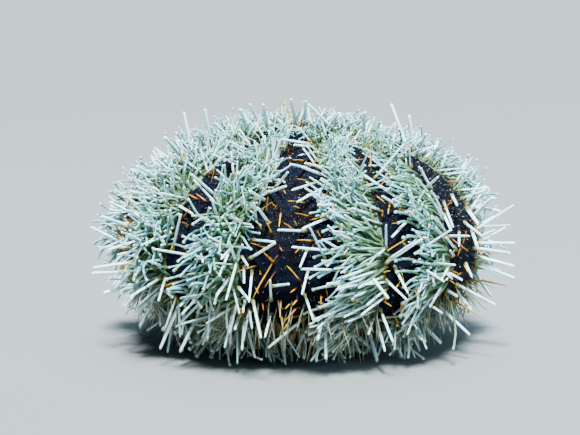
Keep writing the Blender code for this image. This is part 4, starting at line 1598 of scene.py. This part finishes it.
@dataclass(frozen=True)
class Coat:
    """Everything that grows on the skin."""

    shell: Shell
    bands: Bands
    view: PhotoView
    limits: Limits = Limits()
    white_pitch: float = 0.0026
    band_white_pitch: float = 0.0085
    disc_white_pitch: float = 0.0036
    middle_share: float = 0.30
    rim_gain: float = 0.50
    orange_pitch: float = 0.0042
    narrow_pitch: float = 0.0063
    foot_pitch: float = 0.00138
    skirt_pitch: float = 0.0028
    skirt_start: float = math.radians(107)
    edge_share: float = 0.35
    white_edge: float = -0.16
    foot_loss: float = 0.46
    foot_loss_turns: tuple[float, float] = (math.radians(78), math.radians(104))
    crown_loss: float = 0.25
    crown_loss_turns: tuple[float, float] = (math.radians(60), math.radians(30))
    mouth_margin: float = 0.0006
    lip_feet_radius: float = 0.0080
    lip_feet_gap: float = math.radians(9)
    pincer_pitch: float = 0.00150
    pincer_loss: float = 0.72
    pincer_loss_turns: tuple[float, float] = (math.radians(58), math.radians(92))
    white_length: float = 0.0115
    orange_length: float = 0.0072
    crown_start: float = math.radians(8.5)
    disc_start: float = math.radians(5.0)
    disc_pitch: float = 0.0024
    edge_stray: float = 0.05
    bare_until: float = -0.1
    seen_reach: float = math.radians(132)
    gill_apart: float = math.radians(14)
    gill_spread: float = math.radians(3.0)
    gills_each: int = 26

    def scattered(self, habit: Habit, pitch: float, seed: int, low: float, high: float, stop: float,
                  start: float | None = None) -> Batch:
        """Grows a sort over a part of the shell.

        Args:
            habit: How the sort grows.
            pitch: The distance between neighbours.
            seed: Seeds the chance.
            low: The least place across a strip.
            high: The greatest.
            stop: The last angle from the top.
            start: The first, or none for the crown's rim.

        Returns:
            The bristles.
        """
        random = np.random.default_rng(seed)
        first = self.crown_start if start is None else start
        turn, azimuth = rings_round(self.shell, pitch, first, stop, random)
        place = self.bands.across_strip(turn, azimuth) + random.normal(0.0, self.edge_stray, len(turn))
        picked = (place > low) & (place < high)
        return self.grown(habit, turn[picked], azimuth[picked], random)

    def grown(self, habit: Habit, turn: Array, azimuth: Array, random: np.random.Generator) -> Batch:
        """Grows a bristle at every place, kept within the limits."""
        return self.limits.fitted(habit.grown(self.shell, self.bands, turn, azimuth % math.tau, random))

    def sighted(self, seen: Seen, habit: Habit, length: float, curl: float,
                random: np.random.Generator) -> Batch:
        """Sets the bristles that the photo shows singly, kept within the limits."""
        return self.limits.fitted(Sightings(self.view, self.shell).read(seen, habit, length, curl, random))

    def on_crown(self, habit: Habit, pitch: float, seed: int) -> Batch:
        """Grows a sort on the rim of the crown disc."""
        return self.scattered(habit, pitch, seed, -ANYWHERE, ANYWHERE, self.crown_start, self.disc_start)

    def unseen(self, batch: Batch, shares: tuple[float, ...]) -> Batch:
        """Keeps only a share of what would stand on each of the first bands.

        The photo sets single bristles there.

        Args:
            batch: The bristles.
            shares: The share kept on each band, from the first on. Later bands keep all.

        Returns:
            The bristles that are kept.
        """
        share = np.array(shares + (1.0,) * (FIELD_PAIRS - len(shares)))[self.bands.fifth(batch.azimuth)]
        bare = self.bands.across_strip(batch.turn, batch.azimuth) < self.bare_until
        return batch.kept(~(bare & (batch.turn < self.seen_reach)) | (batch.tint < share))

    def thinned(self, batch: Batch) -> Batch:
        """Thins the spines of a strip, most in its middle."""
        place = self.bands.across_strip(batch.turn, batch.azimuth)
        edge = np.clip(np.abs(2.0 * place - 1.0), 0.0, 1.0) ** 1.5
        chance = self.middle_share + (1.0 - self.middle_share) * self.rim_gain * edge
        return batch.kept(np.random.default_rng(14).uniform(0.0, 1.0, len(batch)) < chance)

    def white_spines(self, mouth: float) -> Batch:
        """White spines: close on the strips, few on the bands and the crown, some seen singly."""
        strips = self.scattered(WHITE_HABIT, self.white_pitch, 11, self.white_edge, 1.12, mouth)
        bare = self.scattered(WHITE_HABIT, self.band_white_pitch, 12, -ANYWHERE, self.white_edge, mouth)
        seen = self.sighted(SEEN_WHITE, WHITE_HABIT, self.white_length, 0.0, np.random.default_rng(13))
        crown = self.on_crown(WHITE_HABIT, self.disc_white_pitch, 16)
        return self.thinned(strips).joined(self.unseen(bare, (0.0, 0.0))).joined(crown).joined(seen)

    def base_spines(self, mouth: float) -> Batch:
        """Thin dull spines that hang round the underside, on the wide bands and the strips."""
        return self.scattered(SKIRT_HABIT, self.skirt_pitch, 15, -ANYWHERE, 1.0, mouth, self.skirt_start)

    def orange_spines(self, mouth: float) -> Batch:
        """Orange spines: on the wide and narrow bands, and a few seen singly."""
        wide = self.scattered(ORANGE_HABIT, self.orange_pitch, 21, -ANYWHERE, 0.05, mouth)
        narrow = self.scattered(ORANGE_HABIT, self.narrow_pitch, 22, 0.95, ANYWHERE, mouth)
        seen = self.sighted(SEEN_ORANGE, ORANGE_HABIT, self.orange_length, 0.2, np.random.default_rng(23))
        crown = self.on_crown(ORANGE_HABIT, self.disc_pitch, 24)
        return self.unseen(wide, (0.45, 0.18)).joined(narrow).joined(crown).joined(seen)

    def tube_feet(self, mouth: float) -> Batch:
        """Tube feet: close on the strips, looser low down and at the edges.

        Five pairs stand at the lips, and a few are seen singly.

        Args:
            mouth: The last angle from the top.

        Returns:
            The tube feet.
        """
        random = np.random.default_rng(33)
        strips = self.scattered(FOOT_HABIT, self.foot_pitch, 31, -0.04, 1.04, mouth)
        place = self.bands.across_strip(strips.turn, strips.azimuth)
        inward = smooth_step(np.minimum(place, 1.0 - place), -0.06, 0.22)
        chance = self.edge_share + (1.0 - self.edge_share) * inward
        chance *= 1.0 - self.foot_loss * smooth_step(strips.turn, *self.foot_loss_turns)
        chance *= 1.0 - self.crown_loss * smooth_step(strips.turn, *self.crown_loss_turns)
        strips = strips.kept(random.uniform(0.0, 1.0, len(strips)) < chance)
        seen = self.sighted(SEEN_FEET, FOOT_HABIT, self.white_length, math.radians(70), random)
        azimuth = beside_middles(0.5, self.lip_feet_gap)
        turn = np.full(len(azimuth), self.shell.turn_below(self.lip_feet_radius))
        return strips.joined(seen).joined(self.grown(FOOT_HABIT, turn, azimuth, random))

    def pincers(self, mouth: float) -> Batch:
        """Pincers all over the bands, fewer on the lower half."""
        wide = self.scattered(PINCER_HABIT, self.pincer_pitch, 51, -ANYWHERE, 0.10, mouth)
        narrow = self.scattered(PINCER_HABIT, self.pincer_pitch, 52, 0.90, ANYWHERE, mouth)
        both = wide.joined(narrow)
        lowness = smooth_step(both.turn, *self.pincer_loss_turns)
        chance = np.random.default_rng(53).uniform(0.0, 1.0, len(both))
        return both.kept(chance > self.pincer_loss * lowness)

    def gills(self, mouth: float) -> Batch:
        """Ten small tufts of gills at the mouth's rim, two to each interambulacrum."""
        random = np.random.default_rng(61)
        azimuth = np.repeat(beside_middles(0.0, self.gill_apart), self.gills_each)
        azimuth = azimuth + random.normal(0.0, self.gill_spread, len(azimuth))
        turn = mouth - self.gill_spread * random.uniform(-0.2, 1.2, len(azimuth))
        return self.grown(GILL_HABIT, turn, azimuth, random)

    def plant(self, sort: Sort, batch: Batch, profile: Profile, material: bpy.types.Material) -> None:
        """Builds a sort's meshes, one to a fifth of the animal."""
        fifth = self.bands.fifth(batch.azimuth)
        for number in range(FIELD_PAIRS):
            part = batch.kept(fifth == number)
            mesh = bristle_mesh(f"{sort.value}_{number + 1}", part, profile, self.shell)
            piece_of(mesh, material)
        LOG.info("%s: %d in all", sort.value, len(batch))

    def build(self, effects: Effects) -> None:
        """Grows and dresses every sort."""
        sorts = (
            (Sort.WHITE_SPINE, self.white_spines, WHITE_PROFILE, WHITE_FINISH),
            (Sort.BASE_SPINE, self.base_spines, ORANGE_PROFILE, BASE_FINISH),
            (Sort.ORANGE_SPINE, self.orange_spines, ORANGE_PROFILE, ORANGE_FINISH),
            (Sort.TUBE_FOOT, self.tube_feet, FOOT_PROFILE, FootFinish()),
            (Sort.PINCER, self.pincers, PINCER_PROFILE, PincerFinish()),
            (Sort.GILL, self.gills, GILL_PROFILE, GILL_FINISH),
        )
        mouth = self.shell.turn_below(self.shell.mouth_radius + self.mouth_margin)
        for sort, grow, profile, finish in sorts:
            self.plant(sort, grow(mouth), profile, finish.material(effects))


@dataclass(frozen=True)
class Lamp:
    """A soft light that faces the animal: a square panel, or a far one that lights the whole floor.

    A panel's size is its side in metres and its power is in watts. A far light's size is the angle
    that it fills and its power is in watts to a square metre.
    """

    name: str
    place: tuple[float, float, float]
    size: float
    power: float
    colour: Colour
    far: bool = False

    def build(self, target: Array) -> None:
        """Adds the light."""
        data = bpy.data.lights.new(self.name, "SUN" if self.far else "AREA")
        if self.far:
            data.angle = self.size
        else:
            data.shape = "SQUARE"
            data.size = self.size
        data.energy = self.power
        data.color = self.colour
        back = unit(np.array(self.place) - target)
        right = unit(np.cross((0.0, 0.0, 1.0), back))
        aim_at(add_object(self.name, data), right, np.cross(back, right), back, np.array(self.place))


@dataclass(frozen=True)
class Studio:
    """A plain pale floor, soft lights and the photograph's camera."""

    view: PhotoView
    floor_size: float = 120.0
    floor_colour: Colour = (0.125, 0.122, 0.120)
    floor_shade: float = 0.97
    sky_colour: Colour = (0.42, 0.76, 1.0)
    sky_strength: float = 0.19
    aim_height: float = 0.03
    nearest: float = 0.01
    farthest: float = 200.0
    lights: tuple[Lamp, ...] = (
        Lamp("key", (0.02, -0.42, 0.88), math.radians(12), 34.0, (0.80, 0.98, 1.0), far=True),
        Lamp("fill", (0.70, -0.45, 0.30), 0.50, 7.0, (0.46, 0.80, 1.0)),
        Lamp("top", (0.05, 0.15, 0.80), 0.45, 10.0, (0.48, 0.82, 1.0)),
    )

    def floor(self) -> None:
        """A floor of one large face."""
        points = np.array(((-1.0, -1.0, 0.0), (1.0, -1.0, 0.0), (1.0, 1.0, 0.0), (-1.0, 1.0, 0.0)))
        points *= self.floor_size / 2
        mesh = fill_mesh("floor", points, np.arange(4), np.array((4,)), np.zeros(1))
        material, graph, shader = blank_material("floor", Roughness=0.7)
        tone = graph.ramp(graph.noise(4.0), 0.3, 0.7)
        darker = tuple(channel * self.floor_shade for channel in self.floor_colour)
        graph.feed(shader.inputs["Base Color"], graph.mix(tone, self.floor_colour, darker))
        mesh.materials.append(material)
        add_object("floor", mesh)

    def camera(self) -> None:
        """The camera at the photograph's place."""
        data = bpy.data.cameras.new("camera")
        data.lens = self.view.lens
        data.sensor_width = self.view.sensor
        data.clip_start = self.nearest
        data.clip_end = self.farthest
        camera = add_object("camera", data)
        aim_at(camera, *self.view.axes(), self.view.eye())
        bpy.context.scene.camera = camera

    def build(self) -> None:
        """Sets up the stage."""
        world = bpy.data.worlds.new("studio")
        world.use_nodes = True
        sky = world.node_tree.nodes["Background"]
        sky.inputs["Color"].default_value = (*self.sky_colour, 1.0)
        sky.inputs["Strength"].default_value = self.sky_strength
        bpy.context.scene.world = world
        self.floor()
        for light in self.lights:
            light.build(np.array((0.0, 0.0, self.aim_height)))
        self.camera()


def main() -> None:
    """Builds the animal and the stage."""
    logging.basicConfig(level=logging.INFO, format="%(name)s %(message)s")
    view, shell, bands, effects = PhotoView(), Shell(), Bands(), Effects()
    Skin(shell, bands).build(SkinFinish().material(effects))
    Crown(shell).build(CROWN_FINISH.material(effects))
    face = float(shell.section(np.array(shell.turn_below(shell.mouth_radius)))[1])
    Mouth(shell).build(MOUTH_FINISH.material(effects), face)
    Teeth().build(IvoryFinish().material(), face)
    Coat(shell, bands, view).build(effects)
    Studio(view).build()
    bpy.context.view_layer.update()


if __name__ == "__main__":
    main()
